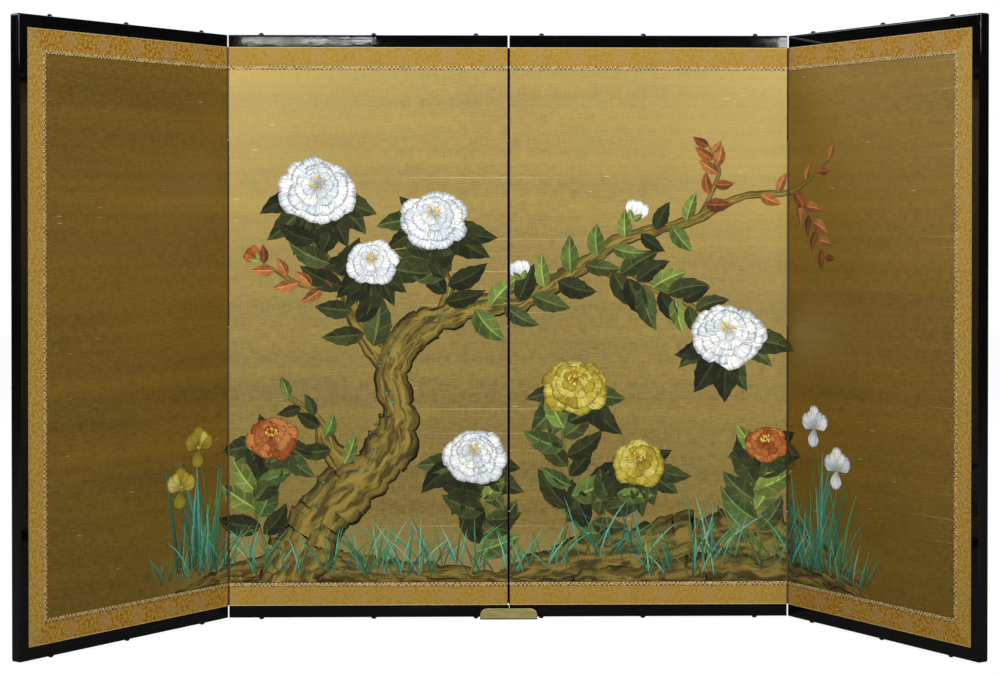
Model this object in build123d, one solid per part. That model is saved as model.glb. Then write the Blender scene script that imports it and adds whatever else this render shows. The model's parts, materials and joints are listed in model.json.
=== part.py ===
from build123d import *

import os

# A four-panel folding screen (byobu), standing in a shallow C with its two middle panels in line.
#
# Units are millimetres, +Z up.  The origin is on the floor, under the middle fold, halfway through
# the thickness of the two middle panels.  The painted faces look towards -Y.
#
# Every panel is a cedar lattice in a cedar frame, papered on both sides.  The painted silk, its
# brocade border and the braid over their seam lie on the front, a paper cover lies on the back,
# and lacquered rails are nailed round the outside.  Strips of cloth join the panels: each strip
# crosses the gap from one panel's face to its neighbour's, and neighbouring strips cross opposite
# ways.  The outer folds close face to face and turn about lines just in front of the rails.  The
# middle fold closes back to back and turns about a line as far behind them.  The panels are built
# side by side, flat, and the two outer ones are then swung about their folds.

# ---- the screen as a whole ----
screen_height = 914.0  # over the lacquered rails, without the nail heads
fold_pitch = 438.9  # from one fold to the next
outer_rail_gap = 1.0  # between the rails at the outer folds
middle_rail_gap = 3.0  # between the rails at the middle fold
left_fold_angle = 53.9  # how far the outer panels stand forward of flat, degrees
right_fold_angle = 60.8
folded_clearance = 0.6  # between the clip and a panel folded over it
nail_meeting_clearance = 0.6  # between the outer panels' side nails, both panels folded in

# ---- lacquered rails ----
rail_width = 19.0  # top and bottom rails, seen from the front
side_rail_width = 17.0
rail_depth = 18.0
rail_round = 3.0  # outer edges
rail_end_round = 0.3  # round the square-cut ends at the folds
rail_arris = 0.5  # inner edges
face_recess = 0.8  # rails stand proud of the silk and of the back paper
core_recess = 0.5  # rails reach past the core at each fold

# ---- layers, from the front ----
silk_thickness = 0.4
lining_thickness = 0.8
cover_thickness = 0.4
brocade_width = 29.5  # seen between rail and braid
braid_width = 6.5
braid_thickness = 0.5

# ---- cedar core ----
stile_width = 18.0
core_rail_width = 18.0
lath_width = 9.0
upright_count = 3
slat_count = 7
tenon_thickness = 6.0
tenon_length = 6.0
corner_tenon_length = 12.0
joint_clearance = 0.1
mortise_relief = 0.5  # empty depth past the end of a tenon

# ---- domed nails ----
nail_head_radius = 4.5
nail_head_height = 3.8
nail_shank_radius = 1.1
nail_reach = 9.0  # how far a shank goes into the core
nail_clearance = 0.05
nail_tip_relief = 0.5
nail_inset = 50.0  # from the ends of a top or bottom rail, except beside the clip
middle_nail_shifts = (-5.0, 8.0, -8.0, 7.0)  # the middle nail, set by eye, for panels 1 to 4
side_nail_top_inset = 55.0
side_nail_bottom_inset = 67.0
nails_per_side = 5

# ---- hinge cloth ----
cloth_thickness = 0.4
crease_clearance = 0.15  # from the fold's plane
cloth_glued = 3.0  # length glued to the panel's edge
flap_width = 12.0  # glued under the silk or the back paper
slit = 1.0  # between one strip and the next
strip_shares = (1, 2, 2, 1)  # heights of the strips, from the top

# ---- brass clip under the middle fold ----
clip_length = 90.0
clip_wall = 1.4
clip_front_height = 13.5  # above the rail's underside
clip_back_height = 16.0
clip_corner_radius = 11.5
clip_relief = 0.3  # under and before panel 3, which swings clear of the clip
clip_wall_reach = 0.9  # how far the back wall reaches past the fold, between the rails
clip_to_nail = 2.0  # from the clip's ends to the heads beside them
clip_edge_round = 0.5

# ---- worked out from the sizes above ----
rail_bottom = nail_head_height  # the screen stands on its nails
rail_top = rail_bottom + screen_height
core_bottom = rail_bottom + rail_width
core_top = rail_top - rail_width
rail_front = -rail_depth / 2
rail_back = rail_depth / 2
silk_front = rail_front + face_recess
lining_front = silk_front + silk_thickness
core_front = lining_front + lining_thickness
cover_back = rail_back - face_recess
lining_back = cover_back - cover_thickness
core_back = lining_back - lining_thickness
core_middle = (core_front + core_back) / 2
fold_offset = (clip_wall + folded_clearance) / 2  # from the rails' faces out to the fold's axis
front_fold_y = rail_front - fold_offset
outer_trim = nail_head_height + nail_meeting_clearance / 2 - outer_rail_gap / 2  # off the outer panels
border = brocade_width + braid_width / 2  # rail to the seam under the braid
clip_side_inset = clip_length / 2 + clip_to_nail + nail_head_radius - middle_rail_gap / 2
panel_count = 4
panel_numbers = range(1, panel_count + 1)
middle_fold = panel_count // 2  # fold number n is between panels n and n + 1


def fold_x(number):
    """The x of a fold while the screen is flat; fold 2 is in the middle."""
    return (number - middle_fold) * fold_pitch


def half_gap(fold):
    """Half the space between the rails at a fold."""
    return (middle_rail_gap if fold == middle_fold else outer_rail_gap) / 2


def core_half_gap(fold):
    """Half the space between the cores at a fold."""
    return half_gap(fold) + core_recess


def panel_ends(number):
    """Where a panel's rails start and end along x while the screen is flat."""
    side = side_rail_of(number)
    start = fold_x(number - 1) + half_gap(number - 1) + (outer_trim if side < 0 else 0)
    end = fold_x(number) - half_gap(number) - (outer_trim if side > 0 else 0)
    return start, end


def side_rail_of(number):
    """-1 if the panel has a rail down its left side, +1 down its right, 0 for none."""
    return {panel_numbers[0]: -1, panel_numbers[-1]: 1}.get(number, 0)


def core_ends(number):
    """Where a panel's core starts and ends along x while the screen is flat."""
    start, end = panel_ends(number)
    side = side_rail_of(number)
    start += side_rail_width if side < 0 else core_recess
    end -= side_rail_width if side > 0 else core_recess
    return start, end


def level_rail_ends(number):
    """Where a panel's top and bottom rails start and end: they stop against a side rail."""
    start, end = panel_ends(number)
    side = side_rail_of(number)
    start += side_rail_width if side < 0 else 0
    end -= side_rail_width if side > 0 else 0
    return start, end


def block(x0, x1, y0, y1, z0, z1):
    """A box between two corners."""
    box = Box(x1 - x0, y1 - y0, z1 - z0, align=(Align.MIN, Align.MIN, Align.MIN))
    return Pos(x0, y0, z0) * box


def spread(first, last, count):
    """Evenly spaced places from first to last."""
    step = (last - first) / (count - 1)
    return [first + step * i for i in range(count)]


def between(start, end, count):
    """Evenly spaced places that divide the run from start to end into count + 1 equal bays."""
    step = (end - start) / (count + 1)
    return [start + step * (i + 1) for i in range(count)]


def swung(shape, number):
    """A shape of a flat panel, moved to where that panel stands."""
    turns = {1: (1, left_fold_angle), panel_count: (panel_count - 1, -right_fold_angle)}
    if number not in turns:
        return shape
    fold, angle = turns[number]
    axis = Pos(fold_x(fold), front_fold_y, 0)
    return axis * Rot(0, 0, angle) * axis.inverse() * shape


# ---- nails ----


def nail_places(number):
    """(place on the rail's outer face, direction of the shank, thickness of the rail) of each nail."""
    start, end = level_rail_ends(number)
    first = start + (clip_side_inset if number == middle_fold + 1 else nail_inset)
    middle = (start + end) / 2 + middle_nail_shifts[number - 1]
    last = end - (clip_side_inset if number == middle_fold else nail_inset)
    places = []
    for x in (first, middle, last):
        places.append(((x, 0, rail_top), (0, 0, -1), rail_width))
        places.append(((x, 0, rail_bottom), (0, 0, 1), rail_width))
    side = side_rail_of(number)
    if side:
        x = panel_ends(number)[0 if side < 0 else 1]
        lowest, highest = rail_bottom + side_nail_bottom_inset, rail_top - side_nail_top_inset
        heights = spread(lowest, highest, nails_per_side)
        places += [((x, 0, z), (-side, 0, 0), side_rail_width) for z in heights]
    return places


def nail(place):
    """A domed head outside the rail and a shank through it into the core."""
    point, inward, through = place
    outward = tuple(-d for d in inward)
    dome_radius = (nail_head_radius**2 + nail_head_height**2) / (2 * nail_head_height)
    head = Pos(0, 0, nail_head_height - dome_radius) * Sphere(dome_radius)
    outside = (Align.CENTER, Align.CENTER, Align.MIN)
    keep = Cylinder(nail_head_radius * 2, nail_head_height, align=outside)
    length = through + nail_reach
    shank = Cylinder(nail_shank_radius, length, align=(Align.CENTER, Align.CENTER, Align.MAX))
    return Plane(origin=point, z_dir=outward) * ((head & keep) + shank)


def nail_holes(number):
    """The holes that a panel's nails go through, as one cutter."""
    radius = nail_shank_radius + nail_clearance
    cutters = []
    for point, inward, through in nail_places(number):
        depth = through + nail_reach + nail_tip_relief
        hole = Cylinder(radius, depth, align=(Align.CENTER, Align.CENTER, Align.MIN))
        cutters.append(Plane(origin=point, z_dir=inward) * hole)
    return Part() + cutters


# ---- lacquered rails ----


def level_rail(number, at_top):
    """The rail along a panel's top or bottom edge, rounded on its outer side."""
    start, end = level_rail_ends(number)
    side = side_rail_of(number)
    low = rail_top - rail_width if at_top else rail_bottom
    rail = block(start, end, rail_front, rail_back, low, low + rail_width)
    outer = -1 if at_top else 0
    rail = fillet(rail.edges().filter_by(Axis.X).group_by(Axis.Z)[outer], rail_round)
    rail = fillet(rail.edges().filter_by(Axis.X).group_by(Axis.Z)[0 if at_top else -1], rail_arris)
    for free_end in [end for end in (-1, 1) if end != side]:
        end_face = rail.faces().sort_by(Axis.X)[-1 if free_end > 0 else 0]
        rail = fillet(end_face.outer_wire().edges(), rail_end_round)
    return rail


def side_rail(number):
    """The rail down the free side of an outer panel, over the ends of its level rails."""
    start, end = panel_ends(number)
    side = side_rail_of(number)
    inner = start if side < 0 else end - side_rail_width
    rail = block(inner, inner + side_rail_width, rail_front, rail_back, rail_bottom, rail_top)
    outer, inmost = (0, -1) if side < 0 else (-1, 0)
    outline = rail.edges().group_by(Axis.X)[outer] + rail.edges().filter_by(Axis.X)
    rail = fillet(outline, rail_round)
    return fillet(rail.edges().filter_by(Axis.Z).group_by(Axis.X)[inmost], rail_arris)


# ---- cedar core ----


def core_opening(number):
    """The space inside a core's frame, as (x0, x1, z0, z1)."""
    start, end = core_ends(number)
    bottom, top = core_bottom + core_rail_width, core_top - core_rail_width
    return start + stile_width, end - stile_width, bottom, top


def lath_places(number):
    """The x of each upright's middle and the z of each slat's middle."""
    x0, x1, z0, z1 = core_opening(number)
    return between(x0, x1, upright_count), between(z0, z1, slat_count)


def tenon(x0, x1, z0, z1, grow=0.0):
    """A stub tenon, centred in the core's thickness; grow turns it into its mortise."""
    half = tenon_thickness / 2 + grow
    return block(x0 - grow, x1 + grow, -half, half, z0 - grow, z1 + grow)


def upright_tenons(number, length, grow=0.0):
    """The tenons at both ends of every upright, or with grow their mortises."""
    _, _, z0, z1 = core_opening(number)
    half = lath_width / 2
    runs = ((z0 - length, z0), (z1, z1 + length))
    places = lath_places(number)[0]
    return [[tenon(x - half, x + half, low, high, grow) for low, high in runs] for x in places]


def slat_tenons(number, length, grow=0.0):
    """The tenons at both ends of every slat, or with grow their mortises."""
    x0, x1, _, _ = core_opening(number)
    half = lath_width / 2
    runs = ((x0 - length, x0), (x1, x1 + length))
    places = lath_places(number)[1]
    return [[tenon(left, right, z - half, z + half, grow) for left, right in runs] for z in places]


def corner_tenons(number, length, grow=0.0):
    """The tenons at both ends of the frame's two level members, or with grow their mortises."""
    x0, x1, _, z1 = core_opening(number)
    third = core_rail_width / 3
    runs = ((x0 - length, x0), (x1, x1 + length))
    lows = (core_bottom + third, z1 + third)
    return [[tenon(left, right, low, low + third, grow) for left, right in runs] for low in lows]


def lattice_uprights(number):
    """Upright laths, notched at the back to half their depth for the slats."""
    xs, zs = lath_places(number)
    _, _, z0, z1 = core_opening(number)
    half, lap = lath_width / 2, lath_width / 2 + joint_clearance
    bars = []
    for x, tenons in zip(xs, upright_tenons(number, tenon_length)):
        bar = block(x - half, x + half, core_front, core_back, z0, z1)
        bar -= [block(x - lap, x + lap, core_middle, core_back, z - lap, z + lap) for z in zs]
        bars.append(bar + tenons)
    return bars


def lattice_slats(number):
    """Level laths, notched at the front to half their depth for the uprights."""
    xs, zs = lath_places(number)
    x0, x1, _, _ = core_opening(number)
    half, lap = lath_width / 2, lath_width / 2 + joint_clearance
    bars = []
    for z, tenons in zip(zs, slat_tenons(number, tenon_length)):
        bar = block(x0, x1, core_front, core_back, z - half, z + half)
        bar -= [block(x - lap, x + lap, core_front, core_middle, z - lap, z + lap) for x in xs]
        bars.append(bar + tenons)
    return bars


def core_frame(number):
    """Two level members tenoned between two stiles, mortised for the laths and bored for nails."""
    start, end = core_ends(number)
    x0, x1, z0, z1 = core_opening(number)
    deep, corner_deep = tenon_length + mortise_relief, corner_tenon_length + mortise_relief
    upright_mortises = sum(upright_tenons(number, deep, joint_clearance), [])
    stile_mortises = slat_tenons(number, deep, joint_clearance)
    stile_mortises += corner_tenons(number, corner_deep, joint_clearance)
    stile_mortises = sum(stile_mortises, [])
    members = []
    lows = ((core_bottom, z0), (z1, core_top))
    for (low, high), tenons in zip(lows, corner_tenons(number, corner_tenon_length)):
        members.append(block(x0, x1, core_front, core_back, low, high) - upright_mortises + tenons)
    for left, right in ((start, x0), (x1, end)):
        stile = block(left, right, core_front, core_back, core_bottom, core_top)
        members.append(stile - stile_mortises)
    holes = nail_holes(number)
    return [member - holes for member in members]


# ---- sheets ----


def sheet(number, y0, y1):
    """A sheet over the whole core, between two depths."""
    start, end = core_ends(number)
    return block(start, end, y0, y1, core_bottom, core_top)


def lining(number, in_front):
    """The paper lining of one face, pressed in where the hinge cloth is glued to it."""
    y0, y1 = (lining_front, core_front) if in_front else (core_back, lining_back)
    paper = sheet(number, y0, y1)
    for fold in folds_of(number):
        for strip in range(len(strip_shares)):
            if glued_in_front(fold, number, strip) == in_front:
                paper -= flap(fold, number, strip)
    return paper


def silk(number):
    """The painted silk, up to the seams under the braid."""
    start, end = core_ends(number)
    side = side_rail_of(number)
    start += border if side < 0 else 0
    end -= border if side > 0 else 0
    return block(start, end, silk_front, lining_front, core_bottom + border, core_top - border)


def border_strips(number, outer, inner, y0, y1):
    """Strips along a panel's rails, from outer to inner measured from the rail, mitred at corners."""
    start, end = core_ends(number)
    side = side_rail_of(number)
    strips = []
    for edge_z, towards in ((core_top, -1), (core_bottom, 1)):
        corners = []
        for distance in (outer, inner):
            left = start + (distance if side < 0 else 0)
            right = end - (distance if side > 0 else 0)
            corners.append([(left, edge_z + towards * distance), (right, edge_z + towards * distance)])
        strips.append(corners[0] + corners[1][::-1])
    if side:
        edge_x = start if side < 0 else end
        near, far = edge_x - side * outer, edge_x - side * inner
        strips.append(
            [
                (near, core_bottom + outer),
                (near, core_top - outer),
                (far, core_top - inner),
                (far, core_bottom + inner),
            ]
        )
    plane = Plane.XZ.offset(-y1)
    outlines = [make_face(Polyline(points, close=True)) for points in strips]
    return [extrude(plane * outline, amount=y1 - y0) for outline in outlines]


# ---- hinge cloth ----


def strip_heights():
    """(bottom, top) of each cloth strip, from the top of the core down."""
    unit = (core_top - core_bottom) / sum(strip_shares)
    heights, top = [], core_top
    for share in strip_shares:
        bottom = top - share * unit
        heights.append((bottom + slit / 2, top - slit / 2))
        top = bottom
    return heights


def folds_of(number):
    """The folds at a panel's two edges."""
    return [fold for fold in (number - 1, number) if fold in panel_numbers[:-1]]


def web_is_on(fold, panel, strip):
    """Strips take the two panels of a fold by turns, and the top one starts on the left panel."""
    return (strip % 2 == 0) == (panel == fold)


def glued_in_front(fold, panel, strip):
    """Whether a strip is glued to this panel's front face or to its back."""
    creases_in_front = fold != middle_fold
    return creases_in_front != web_is_on(fold, panel, strip)


def flap(fold, panel, strip):
    """The end of a strip that lies under the panel's silk or back paper."""
    side = 1 if panel > fold else -1
    edge = fold_x(fold) + side * core_half_gap(fold)
    x0, x1 = sorted((edge, edge + side * flap_width))
    in_front = glued_in_front(fold, panel, strip)
    y0 = lining_front if in_front else lining_back - cloth_thickness
    return block(x0, x1, y0, y0 + cloth_thickness, *strip_heights()[strip])


def hinge_cloth(fold, panel):
    """The cloth of one fold that moves with one panel.

    A strip is one length of cloth with its crease on the side of the screen that the fold closes:
    its lip runs level from one panel's face to the crease, and its web runs from the crease
    through the gap to the other panel's far corner.  Each end is a flap under that panel's cover.
    """
    side = 1 if panel > fold else -1
    near, far, inward = lining_front, lining_back, 1
    if fold == middle_fold:
        near, far, inward = lining_back, lining_front, -1
    crease_x = fold_x(fold) + side * crease_clearance
    edge_x = fold_x(fold) + side * core_half_gap(fold)
    thick_x, thick_y = side * cloth_thickness, inward * cloth_thickness
    glued_y = far - inward * cloth_glued
    web = [
        (crease_x, near),
        (crease_x + thick_x, near),
        (edge_x, glued_y),
        (edge_x, far),
        (edge_x - thick_x, far),
        (edge_x - thick_x, glued_y),
    ]
    lip = [
        (crease_x, near),
        (edge_x, near),
        (edge_x, near + thick_y),
        (crease_x, near + thick_y),
    ]
    pieces = []
    for strip, (bottom, top) in enumerate(strip_heights()):
        outline = make_face(Polyline(web if web_is_on(fold, panel, strip) else lip, close=True))
        run = extrude(Plane.XY.offset(bottom) * outline, amount=top - bottom, dir=(0, 0, 1))
        pieces.append(run + flap(fold, panel, strip))
    return pieces


# ---- brass clip ----


def clip():
    """A foot gripped on panel 2's bottom rail, with a lip in front of both middle panels."""
    half = clip_length / 2
    outer_front, outer_back = rail_front - clip_wall, rail_back + clip_wall
    back_top = rail_bottom + clip_back_height
    front_top = rail_bottom + clip_front_height
    base = block(-half, half, outer_front, outer_back, 0, rail_bottom)
    base = fillet(base.edges().filter_by(Axis.Z), clip_edge_round)
    front = block(-half, half, outer_front, rail_front, 0, front_top)
    front = fillet(front.edges().filter_by(Axis.Y).group_by(Axis.Z)[-1], clip_corner_radius)
    back = block(-half, clip_wall_reach, rail_back, outer_back, 0, back_top)
    upper = back.edges().filter_by(Axis.Y).group_by(Axis.Z)[-1]
    back = fillet(upper.sort_by(Axis.X)[0], clip_back_height / 2)
    body = base + front + back
    body -= block(
        clip_wall_reach, half, rail_front - clip_relief, outer_back, rail_bottom - clip_relief, front_top
    )
    rim = body.faces().sort_by(Axis.Y)[0].outer_wire().edges()
    return fillet([edge for edge in rim if edge.center().Z > rail_bottom], clip_edge_round)


# ---- writing the nodes ----


def write(name, pieces):
    """One STEP file for a node, from one shape or a list of shapes."""
    pieces = pieces if isinstance(pieces, list) else [pieces]
    solids = [solid for piece in pieces for solid in piece.solids()]
    shape = Compound(children=solids) if len(solids) > 1 else solids[0]
    shape.label = name
    export_step(shape, f"parts/{name}.step")
    print(f"{name}: {len(solids)} solids, {sum(s.volume for s in solids):.0f} mm3")


def write_panel(number):
    """Every node of one panel."""
    holes = nail_holes(number)
    braid_back = silk_front
    braid_front = braid_back - braid_thickness
    braid_inner = brocade_width + braid_width
    nodes = {
        "core_frame": core_frame(number),
        "lattice_uprights": lattice_uprights(number),
        "lattice_slats": lattice_slats(number),
        "front_lining": lining(number, True),
        "back_lining": lining(number, False),
        "painted_silk": silk(number),
        "brocade_border": border_strips(number, 0, border, silk_front, lining_front),
        "braid": border_strips(number, brocade_width, braid_inner, braid_front, braid_back),
        "back_paper": sheet(number, lining_back, cover_back),
        "top_rail": level_rail(number, True) - holes,
        "bottom_rail": level_rail(number, False) - holes,
        "domed_nails": [nail(place) for place in nail_places(number)],
    }
    if side_rail_of(number):
        nodes["side_rail"] = side_rail(number) - holes
    for name, pieces in nodes.items():
        pieces = pieces if isinstance(pieces, list) else [pieces]
        write(f"panel_{number}_{name}", [swung(piece, number) for piece in pieces])


os.makedirs("parts", exist_ok=True)
for panel_number in panel_numbers:
    write_panel(panel_number)
for fold_number in panel_numbers[:-1]:
    for joined in (fold_number, fold_number + 1):
        cloth = [swung(piece, joined) for piece in hinge_cloth(fold_number, joined)]
        write(f"hinge_{fold_number}_cloth_on_panel_{joined}", cloth)
write("centre_clip", clip())
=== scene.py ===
# %% [markdown]
# A byobu is a folding screen: light panels of wood lattice and paper, faced with painted silk,
# edged with brocade and lacquered rails, and joined by strips of cloth so that they fold both ways.
# This lesson dresses the imported model of one. The CAD model is loaded as a fixed frame, and each
# piece made on a panel is parented to an empty for that panel's body.

# %% The frame
import json
from functools import partial
from math import cos, pi, radians, sin

import bmesh
import bpy
import numpy as np
from mathutils import Matrix, Vector


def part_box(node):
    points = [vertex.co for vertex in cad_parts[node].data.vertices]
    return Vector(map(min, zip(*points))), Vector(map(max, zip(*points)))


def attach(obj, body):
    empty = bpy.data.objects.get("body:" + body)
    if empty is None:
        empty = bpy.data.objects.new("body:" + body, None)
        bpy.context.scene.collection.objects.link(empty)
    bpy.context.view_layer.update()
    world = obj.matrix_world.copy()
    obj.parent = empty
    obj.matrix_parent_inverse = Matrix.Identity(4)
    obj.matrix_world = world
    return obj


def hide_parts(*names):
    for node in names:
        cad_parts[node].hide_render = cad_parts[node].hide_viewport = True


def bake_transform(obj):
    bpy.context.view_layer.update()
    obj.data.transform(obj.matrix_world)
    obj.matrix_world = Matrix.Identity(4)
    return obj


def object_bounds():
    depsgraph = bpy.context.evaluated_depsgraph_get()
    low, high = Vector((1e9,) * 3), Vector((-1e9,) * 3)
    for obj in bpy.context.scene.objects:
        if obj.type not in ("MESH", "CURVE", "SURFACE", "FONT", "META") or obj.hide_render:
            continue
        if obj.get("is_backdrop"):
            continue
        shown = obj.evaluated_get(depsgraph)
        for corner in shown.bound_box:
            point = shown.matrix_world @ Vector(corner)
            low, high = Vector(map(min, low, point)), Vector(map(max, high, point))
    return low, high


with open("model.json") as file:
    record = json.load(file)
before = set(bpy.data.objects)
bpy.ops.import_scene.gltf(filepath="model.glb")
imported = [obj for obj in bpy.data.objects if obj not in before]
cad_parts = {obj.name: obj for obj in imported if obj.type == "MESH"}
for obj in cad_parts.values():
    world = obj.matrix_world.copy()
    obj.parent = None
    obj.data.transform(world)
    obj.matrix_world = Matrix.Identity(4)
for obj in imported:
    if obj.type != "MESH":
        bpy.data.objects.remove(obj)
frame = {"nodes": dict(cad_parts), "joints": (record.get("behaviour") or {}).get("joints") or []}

cad_box = [list(corner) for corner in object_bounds()]

# %% [markdown]
# The two outer panels stand turned about their folds. It is far easier to lay out silk, borders and
# a painting on a screen that lies flat, so each piece is drawn flat and then placed. Drawings use
# x across the whole screen, y for height and z for how far a thing stands proud of the silk.

# %% Panels, and where a drawing goes on them
MM = 0.001
PANELS = (1, 2, 3, 4)
joints = {joint["name"]: joint for joint in frame["joints"]}
fold_of = {1: "left_fold", 4: "right_fold"}


def rest_turn(panel):
    """The matrix that takes a panel from the flat layout to where it stands."""
    if panel not in fold_of:
        return Matrix.Identity(4)
    joint = joints[fold_of[panel]]
    pivot = Vector(joint["pos_m"])
    angle = radians(-joint["range_deg"][0]) * joint["axis"][2]
    return Matrix.Translation(pivot) @ Matrix.Rotation(angle, 4, "Z") @ Matrix.Translation(-pivot)


def flat_box(panel, part):
    """Lowest and highest corner of a panel's CAD node, with the panel turned back flat."""
    back = rest_turn(panel).inverted()
    points = [back @ v.co for v in frame["nodes"][f"panel_{panel}_{part}"].data.vertices]
    return Vector(map(min, zip(*points))), Vector(map(max, zip(*points)))


silk_box = {panel: flat_box(panel, "painted_silk") for panel in PANELS}
paper_box = {panel: flat_box(panel, "front_lining") for panel in PANELS}
SILK_FRONT = silk_box[2][0].y
BACK_FACE = flat_box(2, "back_paper")[1].y
CLOTH_THICK = silk_box[2][1].y - SILK_FRONT


def on_front(panel):
    """Takes a drawing to a panel's front: x across, y up, z out of the silk."""
    return rest_turn(panel) @ Matrix.Translation((0, SILK_FRONT, 0)) @ Matrix.Rotation(pi / 2, 4, "X")


def on_back(panel):
    """Takes a drawing to a panel's back, where x runs the other way."""
    about = Matrix.Rotation(pi, 4, "Z") @ Matrix.Rotation(pi / 2, 4, "X")
    return rest_turn(panel) @ Matrix.Translation((0, BACK_FACE, 0)) @ about


for panel in PANELS:
    low, high = silk_box[panel]
    print(f"panel {panel}: silk x {low.x:.4f} to {high.x:.4f}, z {low.z:.4f} to {high.z:.4f}")

# %% [markdown]
# A camera with a long lens, level and square to the two middle panels, keeps their edges upright.
# Its lens, place and small turns come from the screen's own corners as they appear in the frame.

# %% Camera
def placed(name, data):
    """A new object of some data, linked into the scene."""
    made = bpy.data.objects.new(name, data)
    bpy.context.scene.collection.objects.link(made)
    return made


eye = bpy.data.cameras.new("eye")
eye.sensor_width = 36
eye.lens = 79.19
eye.shift_y = -0.0866
eye.clip_end = 60
camera = placed("camera", eye)
camera.location = (-0.0828, -3.4607, 0.6176)
camera.rotation_euler = (radians(90 - 0.619), 0, radians(-1.147))
bpy.context.scene.camera = camera
bpy.context.scene.view_settings.view_transform = "Standard"
print("camera", [round(v, 3) for v in camera.location], "lens", eye.lens)

# %% [markdown]
# A few small tools serve every finish. One turns a hex colour, as a painter would note it, into the
# linear light that shaders count in. One adds a node with its settings and links in a single call.
# One starts a material from its Principled shader, with the values that are the same all over.


# %% Tools for finishes
# how the kinds of node that a tree can hold begin, so that a call need not spell it out
HOMES = {"SHADER": ["ShaderNode"], "GEOMETRY": ["GeometryNode", "FunctionNode", "ShaderNode", "Node"]}


def paint(code):
    """The linear colour of an sRGB hex code, with full alpha."""
    parts = [int(code[at : at + 2], 16) / 255 for at in (1, 3, 5)]
    return [p / 12.92 if p <= 0.04045 else ((p + 0.055) / 1.055) ** 2.4 for p in parts] + [1]


def wire(node, *values, **named):
    """Sets a node's inputs in use, in order or by name. A hex code becomes its colour, and a socket
    is linked. A node stands for its first output in use."""
    sockets = [socket for socket in node.inputs if socket.enabled]
    pairs = list(zip(sockets, values))
    for name, value in named.items():
        pairs.append((next(s for s in sockets if s.name == name.replace("_", " ")), value))
    for socket, value in pairs:
        if isinstance(value, bpy.types.Node):
            value = next(output for output in value.outputs if output.enabled)
        if isinstance(value, bpy.types.NodeSocket):
            node.id_data.links.new(value, socket)
        else:
            socket.default_value = paint(value) if isinstance(value, str) and value[:1] == "#" else value


def add(tree, kind, *values, **named):
    """Adds one node. Its kind may be followed by its operation or data type. A keyword with a
    capital names an input, and any other is a setting."""
    kind, _, mode = kind.partition(" ")
    node = tree.nodes.new(next(home + kind for home in HOMES[tree.type] if hasattr(bpy.types, home + kind)))
    if mode:
        setattr(node, "operation" if hasattr(node, "operation") else "data_type", mode)
    for name in [name for name in named if name[0].islower()]:
        setattr(node, name, named.pop(name))
    wire(node, *values, **named)
    return node


def surface(name, **constants):
    """A new material, its shader with the constants set, and add for its tree."""
    material = bpy.data.materials.new(name)
    material.use_nodes = True
    shader = material.node_tree.nodes["Principled BSDF"]
    wire(shader, **constants)
    return material, shader, partial(add, material.node_tree)


print("white is", [round(v, 3) for v in paint("#FFFFFF")])

# %% [markdown]
# The stage is a plain pale floor under a white surround. The floor looks white to the camera
# but lends little light to anything else, because lacquer is a mirror and would show a bright floor.
# Two softboxes stand high behind the camera, left and right, with a thin strip and a low lamp whose
# streaks show in the lacquer. Two fainter ones light from the far left, and one fills the back.

# %% Stage
world = bpy.data.worlds.new("studio")
world.use_nodes = True
bpy.context.scene.world = world
sky = world.node_tree
sky.nodes.clear()
put = partial(add, sky)
seen_by = put("LightPath")
AROUND = 0.28  # light from all round, as a share of a white page
MIRRORED = 0.03  # what gloss finds there: the far walls of a dim studio
level = put("Mix", seen_by.outputs["Is Glossy Ray"], AROUND, MIRRORED)
level = put("Mix", seen_by.outputs["Is Camera Ray"], level, 1.0)
glow = put("Background", Color=(1, 1, 1, 1), Strength=level)
put("OutputWorld", Surface=glow)

FLOOR_REACH = 9.0  # from the middle to each side
floor_mesh = bpy.data.meshes.new("floor")
corners = [(x * FLOOR_REACH, y * FLOOR_REACH, 0) for x, y in ((-1, -1), (1, -1), (1, 1), (-1, 1))]
floor_mesh.from_pydata(corners, [], [(0, 1, 2, 3)])
floor = placed("floor", floor_mesh)
floor_paint = bpy.data.materials.new("pale_floor_paint")
floor_paint.use_nodes = True
floor_paint.node_tree.nodes.clear()
put = partial(add, floor_paint.node_tree)
seen_by = put("LightPath")
FLOOR_GREY, FLOOR_SHOWN = 0.12, 0.93  # what it reflects, and how bright it looks by itself
matt = put("BsdfDiffuse", Color=(FLOOR_GREY, FLOOR_GREY, FLOOR_GREY, 1))
own = put("Emission", Strength=FLOOR_SHOWN)
own = put("MixShader", seen_by.outputs["Is Camera Ray"], put("Emission", Strength=0.0), own)
both = put("AddShader", matt, own)
put("OutputMaterial", Surface=both)
floor.data.materials.append(floor_paint)
floor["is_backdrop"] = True


def softbox(name, at, width, height, radiance, aim=(0, 0, 0.5)):
    """An area lamp of a given radiance, turned towards a point, that the camera can't see."""
    lamp = bpy.data.lights.new(name, "AREA")
    lamp.shape, lamp.size, lamp.size_y = "RECTANGLE", width, height
    lamp.energy = radiance * 4 * width * height
    made = placed(name, lamp)
    made.location = at
    made.rotation_euler = (Vector(at) - Vector(aim)).to_track_quat("Z", "Y").to_euler()
    made.visible_camera = False


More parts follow.
